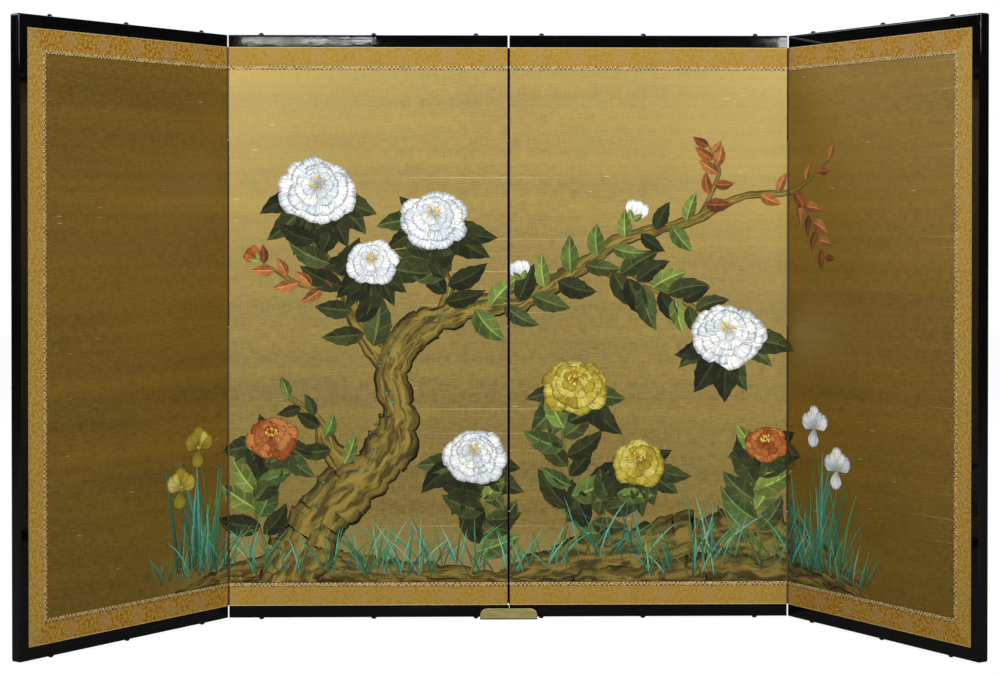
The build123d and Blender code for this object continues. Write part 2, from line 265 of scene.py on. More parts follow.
softbox("left_softbox", (-1.65, -3.45, 2.10), 1.3, 1.4, 18.5, aim=(-1.65, 0, 2.10))
softbox("left_strip", (-0.545, -3.45, 1.199), 0.41, 0.014, 13.0, aim=(-0.545, 0, 1.199))
softbox("right_softbox", (2.0, -3.45, 2.10), 1.2, 1.4, 21.0, aim=(2.0, 0, 2.10))
softbox("right_softbox_foot", (1.2, -3.45, 1.23), 0.54, 0.24, 9.0, aim=(1.2, 0, 1.23))
softbox("far_left_softbox", (-2.6, -0.8, 1.75), 0.9, 1.0, 4.0, aim=(0.6, -0.3, 0.8))
softbox("rear_left_softbox", (-2.3, 0.75, 2.35), 1.1, 1.1, 5.5, aim=(0.6, -0.3, 0.9))
softbox("back_fill", (0.0, 3.6, 2.6), 2.4, 1.6, 1.5)

# %% [markdown]
# Rails are the first finish. Urushi lacquer is laid in thin coats over a black ground and polished,
# so it is almost black with a deep clear gloss. Under a lamp it shows a slight ripple from the brush,
# hairline scratches along the rail and a dusty bloom. The CAD rails keep their shape. Only the
# finish is made here, in one copy per panel, because the brush followed each rail's length.


# %% Black lacquer
def flat_place(put, panel, stretch=(1, 1, 1)):
    """Object coordinates as if the panel lay flat, stretched so that a pattern can run one way."""
    back = rest_turn(panel).inverted()
    place = put("TexCoord").outputs["Object"]
    flat = put("Mapping", place, Location=back.translation, Rotation=back.to_euler())
    return put("Mapping", flat, Scale=stretch)


def black_urushi(panel, upright):
    """Urushi: near black, IOR 1.52, polished to a low roughness, worn to hairlines along the rail."""
    way = "upright" if upright else "level"
    material, shader, put = surface(f"black_urushi_{way}_{panel}", IOR=1.52)
    along, across = 6.0, 900.0  # hairlines about 1 mm apart and up to 150 mm long
    stretch = (across, across, along) if upright else (along, across, across)
    hairs = put("TexNoise", flat_place(put, panel, stretch), 1.0, 3.0)
    hair = put("MapRange", hairs, 0.60, 0.72, 0.0, 1.0)
    bloom = put("TexNoise", flat_place(put, panel), 22.0, 4.0)
    rough = put("MapRange", bloom, 0.35, 0.75, 0.02, 0.07)
    worn = put("Math MULTIPLY_ADD", hair, 0.16, rough)
    tone = put("Mix RGBA", hair, put("Mix RGBA", bloom, "#020202", "#070606"), "#15131A")
    ripple = put("TexNoise", flat_place(put, panel), 90.0, 2.0)
    bump = put("Bump", 0.05, 0.3 * MM, Height=put("Math MULTIPLY_ADD", hair, -0.25, ripple))
    wire(shader, Roughness=worn, Base_Color=tone, Normal=bump)
    return material


def grained(name, place_of, grain, tones, relief, rough=None, **constants):
    """A finish led by one noise, of a scale and a detail: it runs between two tones, and between two
    roughnesses if they are given, and raises the surface."""
    material, shader, put = surface(name, **constants)
    noise = put("TexNoise", place_of(put), *grain)
    tone = put("Mix RGBA", noise, *tones)
    wire(shader, Base_Color=tone, Normal=put("Bump", *relief, Height=noise))
    if rough:
        wire(shader, Roughness=put("MapRange", noise, 0.3, 0.7, *rough))
    return material


def dress(node, material):
    """Gives a CAD node one material in all its slots."""
    target = frame["nodes"][node]
    target.data.materials.clear()
    target.data.materials.append(material)


for panel in PANELS:
    level_coat = black_urushi(panel, upright=False)
    dress(f"panel_{panel}_top_rail", level_coat)
    dress(f"panel_{panel}_bottom_rail", level_coat)
    if panel in fold_of:
        dress(f"panel_{panel}_side_rail", black_urushi(panel, upright=True))
print("lacquered rails:", sum(name.endswith("_rail") for name in frame["nodes"]))

# %% [markdown]
# Domed nails pin the rails to the core. A smith beats each head over a swage, so no two domes catch
# the light alike. One nail is turned as a lathe profile with a soft rim and a few hammer marks. Then
# Geometry Nodes set it on every point where a nail goes, square to the rail and with a turn of its own.


# %% Geometry Nodes helpers
def tree_with(name, **inputs):
    """A geometry node tree, the sockets that give its inputs, and add for the tree. A number is an
    input's own default, and a word is its kind."""
    made = bpy.data.node_groups.new(name, "GeometryNodeTree")
    for label, value in {"Geometry": "Geometry", **inputs}.items():
        kind = value if isinstance(value, str) else type(value).__name__.capitalize()
        label = label.replace("_", " ")
        socket = made.interface.new_socket(label, in_out="INPUT", socket_type=f"NodeSocket{kind}")
        if kind != value:
            socket.default_value = value
    made.interface.new_socket("Geometry", in_out="OUTPUT", socket_type="NodeSocketGeometry")
    put = partial(add, made)
    return made, put("GroupInput").outputs, put


def grown(host, tree, **values):
    """Runs a tree on a mesh object, which is then removed, and returns the result as a plain mesh."""
    modifier = host.modifiers.new("grow", "NODES")
    modifier.node_group = tree
    for item in tree.interface.items_tree:
        name = item.name.replace(" ", "_")
        if item.in_out == "INPUT" and name in values:
            modifier[item.identifier] = values[name]
    graph = bpy.context.evaluated_depsgraph_get()
    result = host.evaluated_get(graph)
    mesh = bpy.data.meshes.new_from_object(result, preserve_all_data_layers=True, depsgraph=graph)
    bpy.data.objects.remove(host)
    return mesh


def mesh_object(name, points, edges=(), faces=(), smooth=False):
    """A mesh object from plain lists, linked into the scene."""
    mesh = bpy.data.meshes.new(name)
    mesh.from_pydata([tuple(p) for p in points], list(edges), list(faces))
    if smooth:
        mesh.shade_smooth()
    return placed(name, mesh)


def ring_quads(rings, sides, start=0):
    """Quads that join rings of points, each ring to the next."""
    return [(a + s, a + sides + s, a + sides + (s + 1) % sides, a + (s + 1) % sides)
            for a in range(start, start + (rings - 1) * sides, sides) for s in range(sides)]


def as_piece(name, mesh, slot, *nodes, panel=None):
    """Puts a finished mesh in the scene as a piece that stands for CAD nodes. One on a panel rides on
    that body, and its name and its nodes' names start with the panel's."""
    body = f"panel_{panel}"
    if panel:
        name, nodes = f"{body}_{name}", [f"{body}_{node}" for node in nodes]
    mesh.name = name
    made = placed(name, mesh)
    if panel:
        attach(made, body)
    if nodes:
        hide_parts(*nodes)
    return made


# %% One nail, and the tree that sets it
HEAD_RADIUS, HEAD_HEIGHT = 4.5 * MM, 3.8 * MM
SHANK_RADIUS, SHANK_REACH = 1.1 * MM, 9.0 * MM
NAIL_SIDES, BEATEN_ROWS, NAIL_SEED = 20, range(1, 4), 7
RAIL_FACE = 19 * MM  # what the shank passes before it reaches the core


def domed_nail(shank):
    """A nail pointing down its own z axis: a beaten dome, its rolled rim and a tapered shank."""
    dome = ((0.2, 0.985), (0.45, 0.91), (0.68, 0.73), (0.86, 0.46), (0.97, 0.17), (1.0, 0.05), (0.985, 0.0))
    rings = [(share * HEAD_RADIUS, rise * HEAD_HEIGHT) for share, rise in dome]
    rings += [(SHANK_RADIUS, 0.0), (SHANK_RADIUS, -0.75 * shank), (0.4 * SHANK_RADIUS, -shank)]
    beat = np.random.default_rng(NAIL_SEED).uniform(-0.05, 0.05, (len(rings), NAIL_SIDES)) * MM
    points = [(0, 0, HEAD_HEIGHT)]
    for row, (radius, z) in enumerate(rings):
        for step in range(NAIL_SIDES):
            turn = 2 * pi * step / NAIL_SIDES
            mark = beat[row, step] if row in BEATEN_ROWS else 0
            points.append((radius * cos(turn), radius * sin(turn), z + mark))
    points.append((0, 0, -shank))
    last = len(points) - 1
    faces = [(0, 1 + s, 1 + (s + 1) % NAIL_SIDES) for s in range(NAIL_SIDES)]
    faces += ring_quads(len(rings), NAIL_SIDES, start=1)
    a = last - NAIL_SIDES
    faces += [(a + s, last, a + (s + 1) % NAIL_SIDES) for s in range(NAIL_SIDES)]
    return mesh_object("nail_pattern", points, (), faces, smooth=True)


setting, given, put = tree_with("set_nails", Nail="Object", Turn_Seed=4, Finish="Material")
nail = put("ObjectInfo", Object=given["Nail"]).outputs["Geometry"]
outwards = put("InputNamedAttribute", Name="outwards", data_type="FLOAT_VECTOR")
square = put("AlignRotationToVector", Vector=outwards, axis="Z")
turn = put("RandomValue", Min=0.0, Max=2 * pi, Seed=given["Turn Seed"], data_type="FLOAT")
about = put("AxisAngleToRotation", Axis=(0, 0, 1), Angle=turn)
facing = put("RotateRotation", square, about, rotation_space="LOCAL")
spread = put("InstanceOnPoints", Points=given["Geometry"], Instance=nail, Rotation=facing)
real = put("RealizeInstances", Geometry=spread)
coated = put("SetMaterial", Geometry=real, Material=given["Finish"])
put("GroupOutput", Geometry=coated)

# %% Nails on every rail
NAIL_INSET, MIDDLE_SHIFTS = 50 * MM, (-5 * MM, 8 * MM, -8 * MM, 7 * MM)
SIDE_TOP, SIDE_BOTTOM, NAILS_PER_SIDE = 55 * MM, 67 * MM, 5
CLIP_TO_NAIL = 2 * MM
BESIDE_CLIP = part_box("centre_clip")[1].x + CLIP_TO_NAIL + HEAD_RADIUS


def nail_spots(panel):
    """(place, outwards) of each nail of a panel in the flat layout, on the rails' outer faces."""
    low, high = flat_box(panel, "top_rail")
    bottom = flat_box(panel, "bottom_rail")[0].z
    first = BESIDE_CLIP if panel == 3 else low.x + NAIL_INSET
    last = -BESIDE_CLIP if panel == 2 else high.x - NAIL_INSET
    middle = (low.x + high.x) / 2 + MIDDLE_SHIFTS[panel - 1]
    spots = [((x, 0, high.z), (0, 0, 1)) for x in (first, middle, last)]
    spots += [((x, 0, bottom), (0, 0, -1)) for x in (first, middle, last)]
    if panel in fold_of:
        x, way = (low.x, -1) if panel == 1 else (high.x, 1)
        for z in np.linspace(bottom + SIDE_BOTTOM, high.z - SIDE_TOP, NAILS_PER_SIDE):
            spots.append(((x, 0, z), (way, 0, 0)))
    return spots


# iron blackened with burnt lacquer: dark, half glossy, pitted where the hammer fell
iron = grained("blackened_nail_iron", lambda put: put("TexCoord").outputs["Object"], (700.0, 3.0),
               ("#030303", "#0B0A08"), (0.3, 0.15 * MM), rough=(0.08, 0.2), IOR=2.2)
pattern = domed_nail(RAIL_FACE + SHANK_REACH)
for panel in PANELS:
    spots = nail_spots(panel)
    host = mesh_object(f"nail_points_{panel}", [spot for spot, way in spots])
    ways = host.data.attributes.new("outwards", "FLOAT_VECTOR", "POINT")
    ways.data.foreach_set("vector", [c for spot, way in spots for c in way])
    mesh = grown(host, setting, Nail=pattern, Turn_Seed=4 + panel, Finish=iron)
    mesh.transform(rest_turn(panel))
    nails = as_piece("domed_nail_heads", mesh, "nail_iron", "domed_nails", panel=panel)
    print(nails.name, len(spots), "nails", [round(v, 4) for v in mesh.vertices[0].co])
bpy.data.objects.remove(pattern)

# %% [markdown]
# Under the silk lies the core: a cedar frame, a lattice of thin laths and layers of kozo paper
# pasted over both faces. Little of it shows, only its edges in the gaps, but it is what a restorer
# sees. The CAD pieces keep their shape and get cedar grain that follows each member, and paper
# with its long fibres.


# %% Cedar and lining paper
CEDAR = {"grain": (1.0, 5.0), "tones": ("#A9794A", "#D9B486"), "relief": (0.3, 0.2 * MM),
         "rough": (0.48, 0.66), "IOR": 1.5}
KOZO = {"grain": (1.0, 4.0, 0.5, 2.0, 1.4), "tones": ("#D3C4A0", "#F0E7D0"), "relief": (0.25, 0.2 * MM),
        "Roughness": 0.85, "IOR": 1.45}
for panel in PANELS:
    # growth rings 2 to 4 mm apart run along each member, and paper has long fibres at all angles
    upright, level, paper = (
        grained(f"{name}_{panel}", partial(flat_place, panel=panel, stretch=stretch), **look)
        for name, stretch, look in (("cedar_upright", (350, 350, 9), CEDAR),
                                    ("cedar_level", (9, 350, 350), CEDAR),
                                    ("kozo_paper", (60, 400, 220), KOZO)))
    for part, finish in (("core_frame", upright), ("lattice_uprights", upright), ("lattice_slats", level),
                         ("front_lining", paper), ("back_lining", paper)):
        dress(f"panel_{panel}_{part}", finish)
print("core pieces dressed for", len(PANELS), "panels")

# %% [markdown]
# The clip under the middle fold is thin sheet brass, gone dull. Brass is a warm yellow metal. With
# age its polish breaks into fine lengthwise scratches and soft patches of bloom. Its foot is painted
# dark olive, as painted shade where it meets the floor.


# %% Dull brass
def dull_brass():
    """Aged brass sheet: fully metallic, brushed along x, mottled in soft patches, with painted shade
    darkening its foot to olive black.
    """
    material, shader, put = surface("dull_brass", Metallic=1.0)
    place = put("TexCoord").outputs["Object"]
    brushed = put("TexNoise", put("Mapping", place, Scale=(40, 1600, 1600)), 1.0, 3.0)
    tone = put("Mix RGBA", put("TexNoise", place, 110.0, 5.0), "#BDAC66", "#E0D291")
    height = put("SeparateXYZ", place).outputs[2]
    # painted shade: the lowest 2.6 mm darken to olive black, where the clip meets the floor
    foot = put("MapRange", height, 1.2 * MM, 2.6 * MM, 0.85, 0.0)
    tone = put("Mix RGBA", foot, tone, "#3A3014")
    rough = put("MapRange", brushed, 0.3, 0.7, 0.34, 0.56)
    bump = put("Bump", 0.35, 0.08 * MM, Height=brushed)
    wire(shader, Base_Color=tone, Roughness=rough, Normal=bump)
    return material


dress("centre_clip", dull_brass())

# %% [markdown]
# Silk, brocade and back paper are all thin sheets pasted flat. A real one has a front, a back and
# an edge that is pressed down at the rim. One small function makes that from four corners, closed all
# round, with a map in metres so that a weave keeps its true scale. Flat pieces could be planes, but a
# plane has no edge to catch the light and can't be made as a solid.


# %% A pasted sheet
PANEL_CELLS, STRIP_CELLS = (11, 20), (12, 3)  # how many cells a sheet has along and across


def slab(columns, rows):
    """Faces of a closed slab: a grid of points on top, the rim's points again below, and the walls.
    Also gives which of the grid's points make the rim."""
    faces = [(k, k + 1, k + columns + 1, k + columns)
             for j in range(rows - 1) for k in range(j * columns, (j + 1) * columns - 1)]
    rim = [*range(columns), *(columns * j + columns - 1 for j in range(1, rows)),
           *(columns * (rows - 1) + i for i in range(columns - 2, -1, -1)),
           *(columns * j for j in range(rows - 2, 0, -1))]
    start, count = columns * rows, len(rim)
    faces += [(rim[(n + 1) % count], rim[n], start + n, start + (n + 1) % count) for n in range(count)]
    faces.append(tuple(range(start + count - 1, start - 1, -1)))
    return faces, rim


def pasted_patch(corners, thick, cells, ease=0.15 * MM):
    """Points, faces and map of a closed sheet over four corners: start and end of the outer edge,
    then of the inner edge. The map runs along the outer edge, and across from it."""
    outer_a, outer_b, inner_a, inner_b = (Vector(c).to_3d() for c in corners)
    way = (outer_b - outer_a).normalized()
    across = (inner_a - outer_a) - way * (inner_a - outer_a).dot(way)
    width, length = across.length, (outer_b - outer_a).length
    steps = [[0, ease / size, *np.linspace(0, 1, count + 1)[1:-1], 1 - ease / size, 1]
             for size, count in ((length, cells[0]), (width, cells[1]))]
    points, place = [], []
    columns, rows = len(steps[0]), len(steps[1])
    for j, b in enumerate(steps[1]):
        for i, a in enumerate(steps[0]):
            point = outer_a.lerp(outer_b, a).lerp(inner_a.lerp(inner_b, a), b)
            rim = i in (0, columns - 1) or j in (0, rows - 1)
            points.append((point.x, point.y, -ease if rim else 0.0))
            place.append(((point - outer_a).dot(way) + outer_a.dot(way), b * width))
    faces, rim = slab(columns, rows)
    points += [(points[k][0], points[k][1], -thick) for k in rim]
    place += [place[k] for k in rim]
    if (Vector(points[1]) - Vector(points[0])).cross(Vector(points[columns]) - Vector(points[0])).z < 0:
        faces = [face[::-1] for face in faces]
    return points, faces, place


def joined(name, patches, materials):
    """Joins patches to one mesh, each with its map and its material's number."""
    points, faces, place, numbers = [], [], [], []
    for (more, shape, spots), number in patches:
        faces += [tuple(k + len(points) for k in face) for face in shape]
        numbers += [number] * len(shape)
        points += more
        place += spots
    mesh = bpy.data.meshes.new(name)
    mesh.from_pydata(points, [], faces)
    for material in materials:
        mesh.materials.append(material)
    mesh.polygons.foreach_set("material_index", numbers)
    layer = mesh.uv_layers.new(name="cloth")
    for loop in mesh.loops:
        layer.data[loop.index].uv = place[loop.vertex_index]
    return mesh


print("a test patch has", len(pasted_patch(((0, 0), (1, 0), (0, 1), (1, 1)), 0.001, (4, 4))[0]), "points")

# %% [markdown]
# The silk is tabby woven in old gold. Its warp is fine and even, its weft a little slubby, so it
# shows faint level bands and pale streaks where a thick place ran in. Raw silk has a pearly gloss:
# part of its light comes back as from metal, pale gold and spread wide, and the rest is deep tan.
# Mineral wash darkens the foot of the cloth to make a ground for the painting.


# %% Gold silk
OUTER_FOLD = 0.439  # from the middle fold, across the screen
SHEEN_STEP_HEIGHTS = 0.584, 0.591  # heights of a painted step in the sheen, brighter above, on the middle panels only


def gold_silk():
    """Tabby silk dyed old gold. Threads are really 0.2 mm apart and are drawn about 2 mm apart, so
    that they show."""
    material, shader, put = surface(
        "old_gold_tabby_silk", IOR=2.05, Specular_IOR_Level=1.0, Specular_Tint="#FFE9AA")
    place = put("UVMap", uv_map="cloth")
    weft_way = put("Mapping", place, Scale=(64, 500, 1))
    warp_way = put("Mapping", place, Scale=(500, 50, 1))
    band_way = put("Mapping", place, Scale=(0.7, 24, 1))
    slub_way = put("Mapping", place, Scale=(38, 310, 1), Rotation=(0, 0, 0.004))
    long_way = put("Mapping", place, Scale=(1.1, 190, 1))
    weft = put("TexNoise", weft_way, 1.0, 2.0)
    warp = put("TexNoise", warp_way, 1.0, 2.0)
    bands = put("TexNoise", band_way, 1.0, 7.0, Roughness=0.68)
    cloud = put("TexNoise", place, 7.0, 3.0)
    threads = put("Math MULTIPLY_ADD", warp, 0.7, weft)
    weave = put("MapRange", threads, 0.60, 1.10, -0.32, 0.32)
    banded = put("MapRange", bands, 0.3, 0.7, -0.25, 0.25)
    clouded = put("MapRange", cloud, 0.3, 0.7, -0.06, 0.06)
    tones = put("Math ADD", put("Math ADD", weave, banded), clouded)
    axes = put("SeparateXYZ", place)
    off = put("Math ABSOLUTE", axes.outputs[0])
    # painted sheen: on the middle panels the silk is painted a little brighter above these heights and darker
    # below
    painted_sheen_step = put("MapRange", axes.outputs[1], *SHEEN_STEP_HEIGHTS, 0.94, 1.07)
    middle = put("Math LESS_THAN", off, OUTER_FOLD)
    painted_sheen_step = put("Mix", middle, 1.0, painted_sheen_step)
    light = put("Math ADD", tones, painted_sheen_step)
    dye = put("Mix RGBA", cloud, "#70550B", "#6E5E10")
    # painted shade: the outer leaves, turned away from the lamps, get a browner, deeper dye
    shade = put("VectorMath SCALE", put("Mix RGBA", middle, "#6F5309", dye), light)
    marks = 0.0
    for way, rarity, thick, strength in ((slub_way, 0.993, 0.24, 0.6), (long_way, 0.92, 0.18, 0.30)):
        slubs = put("TexVoronoi", way, 1.0, voronoi_dimensions="2D")
        rare = put("SeparateColor", slubs.outputs["Color"])
        chosen = put("Math GREATER_THAN", rare, rarity)
        near = put("MapRange", slubs.outputs["Distance"], 0.06, thick, strength, 0.0)
        mark = put("Math MULTIPLY", chosen, put("Math MULTIPLY", near, rare.outputs[1]))
        marks = put("Math MAXIMUM", marks, mark)
    tone = put("Mix RGBA", marks, shade, "#E8DDB8")
    foot = put("Math MULTIPLY_ADD", cloud, 0.12, axes.outputs[1])
    foot = put("MapRange", foot, 0.13, 0.22, 0.9, 0.0)
    wash = put("Math MULTIPLY", foot, put("MapRange", off, 0.46, 0.62, 1.0, 0.0))
    tone = put("Mix RGBA", wash, tone, "#5F5116")
    pearl = put("MapRange", wash, 0, 1, 0.3, 0.0)
    rough = put("MapRange", threads, 0.60, 1.10, 0.42, 0.52)
    rough = put("Math MULTIPLY_ADD", wash, 0.3, rough)
    bump = put("Bump", 0.25, 0.25 * MM, Height=threads)
    wire(shader, Base_Color=tone, Metallic=pearl, Roughness=rough, Normal=bump)
    return material


silk_cloth = gold_silk()
for panel in PANELS:
    low, high = silk_box[panel]
    corners = ((low.x, low.z), (high.x, low.z), (low.x, high.z), (high.x, high.z))
    points, faces, _ = pasted_patch(corners, CLOTH_THICK, PANEL_CELLS)
    place = [point[:2] for point in points]  # the weave runs on from panel to panel
    mesh = joined("silk", [((points, faces, place), 0)], [silk_cloth])
    mesh.transform(on_front(panel))
    silk = as_piece("silk_leaf", mesh, "painted_silk", "painted_silk", panel=panel)
    print(silk.name, f"{high.x - low.x:.4f} x {high.z - low.z:.4f} m")

# %% [markdown]
# The border is brocade: orange gold silk with rows of round flower crests between small leaves. It is
# cut in strips and mitred at the outer corners. The strips at the sides are cut along the cloth, where
# fewer crests fall and the ground looks yellower, so they get a finish of their own. The two middle
# panels get a paler copy of the same cloth, whose ground and figures are nearly one tone: painted sheen,
# where they face the lamps.


# %% Brocade
CREST_PITCH, CREST_SIZE, CREST_START = 68 * MM, 24 * MM, 27 * MM
CREST_MIDDLE = 15 * MM  # from the strip's outer edge
CREST_PETALS, CREST_RING = 8.0, 4 * MM
LEAF_PITCH = 4.4 * MM  # small leaves between the crests


def brocade(name, ground, leaf, crest, crest_share, gloss):
    """Brocade of floss silk and gilt thread: a glossy twill ground under duller leaves and crests.
    The gloss is the cloth's index of refraction."""
    material, shader, put = surface(name, IOR=gloss, Specular_Tint="#FFEBB8")
    place = put("UVMap", uv_map="cloth")
    axes = put("SeparateXYZ", place)
    row = put("Math ADD", axes.outputs[0], CREST_START)
    row = put("Math WRAP", row, CREST_PITCH / 2, -CREST_PITCH / 2)
    tall = put("Math SUBTRACT", axes.outputs[1], CREST_MIDDLE)
    far = put("VectorMath LENGTH", put("CombineXYZ", row, tall))
    petals = put("Math MULTIPLY", put("Math ARCTAN2", tall, row), CREST_PETALS)
    edge = put("Math MULTIPLY_ADD", put("Math SINE", petals), 1.3 * MM, far)
    round_crest = put("MapRange", edge, CREST_SIZE / 2 - 2 * MM, CREST_SIZE / 2 + 1.5 * MM, crest_share, 0.0)
    ringed = put("Math COSINE", put("Math MULTIPLY", edge, 2 * pi / CREST_RING))
    leafy = put("TexVoronoi", place, 1 / LEAF_PITCH, feature="SMOOTH_F1", voronoi_dimensions="2D")
    mottle = put("TexNoise", place, 170.0, 3.0)
    leaves = put("MapRange", leafy.outputs["Distance"], 0.22, 0.44, 0.9, 0.0)
    base = put("Mix RGBA", put("MapRange", mottle, 0.46, 0.62, 0.0, 0.55), ground, leaf)
    tone = put("Mix RGBA", round_crest, put("Mix RGBA", leaves, base, leaf), crest)
    twill_way = put("Mapping", place, Rotation=(0, 0, radians(60)))
    twill = put("TexWave", twill_way, 120.0, 1.5, 1.0)
    thread = put("MapRange", twill.outputs[1], 0, 1, 0.9, 1.08)
    tone = put("VectorMath SCALE", tone, put("Math MULTIPLY_ADD", ringed, 0.06, thread))
    rim = put("MapRange", axes.outputs[1], 0.7 * MM, 1.4 * MM, 0.45, 0.0)
    tone = put("Mix RGBA", rim, tone, "#E5D49A")
    rough = put("MapRange", leaves, 0, 1, 0.42, 0.8)  # the ground shines, the figures don't
    bump = put("Bump", 0.4, 0.2 * MM, Height=put("Math ADD", leaves, twill.outputs[1]))
    wire(shader, Base_Color=tone, Roughness=rough, Normal=bump)
    return material


crossways = brocade("crested_brocade_crossways", "#8C5E10", "#A5833A", "#9A7C50", 0.5, gloss=1.4)
# painted sheen: the middle panels face the lamps, so their copy of the same brocade is painted paler, ground
# and figures nearly one tone
painted_sheen_crossways = brocade("crested_brocade_middle_lot", "#92702A", "#9A7E3C", "#967C50", 0.35, gloss=1.2)
lengthways = brocade("crested_brocade_lengthways", "#96742A", "#AA8A40", "#A0824C", 0.2, gloss=1.5)


def border_patches(panel):
    """The strips of one panel: above, below and, on an outer panel, down its free side."""
    (x0, _, z0), (x1, _, z1) = paper_box[panel]
    (s0, _, t0), (s1, _, t1) = silk_box[panel]
    strips = [(((x0, z1), (x1, z1), (s0, t1), (s1, t1)), 0), (((x0, z0), (x1, z0), (s0, t0), (s1, t0)), 0)]
    if panel in fold_of:
        outer, inner = (x0, s0) if panel == 1 else (x1, s1)
        strips.append((((outer, z0), (outer, z1), (inner, t0), (inner, t1)), 1))
    return strips


for panel in PANELS:
    strips = border_patches(panel)
    patches = [(pasted_patch(corners, CLOTH_THICK, STRIP_CELLS), number) for corners, number in strips]
    mesh = joined("brocade", patches, [crossways if panel in fold_of else painted_sheen_crossways, lengthways])
    mesh.transform(on_front(panel))
    border = as_piece("brocade_strips", mesh, "brocade", "brocade_border", panel=panel)

# %% [markdown]
# A braid of three cords, cream, gold and black, covers the seam between silk and brocade. Its path is
# simply the seam, so Geometry Nodes can plait it: each cord swings from side to side as it runs, a
# third of a turn after its neighbour, and rises where it crosses over.


# %% Braid
BRAID_WIDTH, BRAID_TURN = 6.5 * MM, 6.6 * MM  # a turn is one cord's full swing and back
CORD_MIDDLE, CORD_RISE, TWIST_PITCH = 0.3 * MM, 0.14 * MM, 1.2 * MM


def floss(name, light, dark, fleck):
    """Twisted silk floss in one colour, its twist painted as lit crowns and shaded grooves, and now and then
    a stained place.
    """
    material, shader, put = surface(name, Roughness=0.62, IOR=1.55)
    along = put("Attribute", attribute_name="along").outputs["Fac"]
    twist = put("Math SINE", put("Math MULTIPLY", along, 2 * pi / TWIST_PITCH))
    twist_light_and_shade = put("MapRange", twist, -1.0, 1.0, 0.0, 1.0)
    place = put("TexCoord").outputs["Object"]
    stained = put("MapRange", put("TexNoise", place, 130.0, 2.0), 0.5, 0.58)
    # painted light and shade: along each turn the floss runs from its light tone on the crown to its dark
    # tone in the groove
    tone = put("Mix RGBA", stained, put("Mix RGBA", twist_light_and_shade, dark, light), fleck)
    bump = put("Bump", 0.4, 0.15 * MM, Height=twist)
    wire(shader, Base_Color=tone, Normal=bump)
    return material


cords = [floss("cream_floss", "#DCC896", "#AA9058", "#8A6A3A"),
         floss("gold_floss", "#A88436", "#77561C", "#C2A868"),
         floss("black_floss", "#46351C", "#281C0F", "#A88A58")]
plaiting, given, put = tree_with(
    "plait_braid", Width=BRAID_WIDTH, Turn=BRAID_TURN, Cord_Width=2.3 * MM, Cord_Height=0.42 * MM,
    Step=0.9 * MM, Cream="Material", Gold="Material", Black="Material")
path = put("MeshToCurve", Mesh=given["Geometry"])
fine = put("ResampleCurve", Curve=path, Length=given["Step"], mode="LENGTH")
level_cord = put("SetCurveNormal", Curve=fine, mode="Z_UP")
length = put("SplineParameter").outputs["Length"]
kept = put("StoreNamedAttribute", Geometry=level_cord, Name="along", Value=length)
ring = put("CurvePrimitiveCircle", Resolution=6, Radius=0.5)
size = put("CombineXYZ", given["Cord Width"], given["Cord Height"], 1.0)
section = put("Transform", Geometry=ring, Scale=size)
sideways = put("VectorMath CROSS_PRODUCT", (0, 0, 1), put("InputTangent"))
swing = put("Math MULTIPLY", put("Math SUBTRACT", given["Width"], given["Cord Width"]), 0.5)
turns = put("Math DIVIDE", length, given["Turn"])
plaited = put("JoinGeometry")
for number, colour in enumerate(("Cream", "Gold", "Black")):
    phase = put("Math MULTIPLY_ADD", turns, 2 * pi, 2 * pi * number / 3)
    swung = put("Math SINE", phase)
    rise = put("Math SINE", put("Math MULTIPLY", phase, 2.0))
    off = put("Math MULTIPLY", swung, swing)
    over = put("Math MULTIPLY_ADD", rise, CORD_RISE, CORD_MIDDLE)
    aside = put("VectorMath SCALE", sideways, off)
    shift = put("VectorMath ADD", aside, put("CombineXYZ", Z=over))
    moved = put("SetPosition", Geometry=kept, Offset=shift)
    tube = put("CurveToMesh", Curve=moved, Profile_Curve=section, Fill_Caps=True)
    coloured = put("SetMaterial", Geometry=tube, Material=given[colour])
    wire(plaited, coloured)
real = put("RealizeInstances", Geometry=plaited)
put("GroupOutput", Geometry=real)


def seam_runs(panel):
    """The seam between silk and brocade, as runs of points in the flat layout."""
    (x0, _, _), (x1, _, _) = paper_box[panel]
    (s0, _, t0), (s1, _, t1) = silk_box[panel]
    if panel in fold_of:
        inner, outer = (x1, s0) if panel == 1 else (x0, s1)
        return [[(inner, t1), (outer, t1), (outer, t0), (inner, t0)]]
    return [[(x0, t1), (x1, t1)], [(x0, t0), (x1, t0)]]


for panel in PANELS:
    points, edges = [], []
    for run in seam_runs(panel):
        edges += [(len(points) + k, len(points) + k + 1) for k in range(len(run) - 1)]
        points += [(x, y, 0) for x, y in run]
    host = mesh_object(f"seam_{panel}", points, edges)
    mesh = grown(host, plaiting, Cream=cords[0], Gold=cords[1], Black=cords[2])
    mesh.transform(on_front(panel))
    braid = as_piece("plaited_braid", mesh, "braid", "braid", panel=panel)
    print(braid.name, len(mesh.polygons), "faces")

# %% [markdown]
# The back is papered. Workshops used a dark block-printed paper there, since it is handled and faces
# the wall. The print is the old seven-treasures net of overlapping rings, one tone lighter than
# its ground, so the back is quiet but not bare.


# %% Back paper
RING_PITCH = 42 * MM


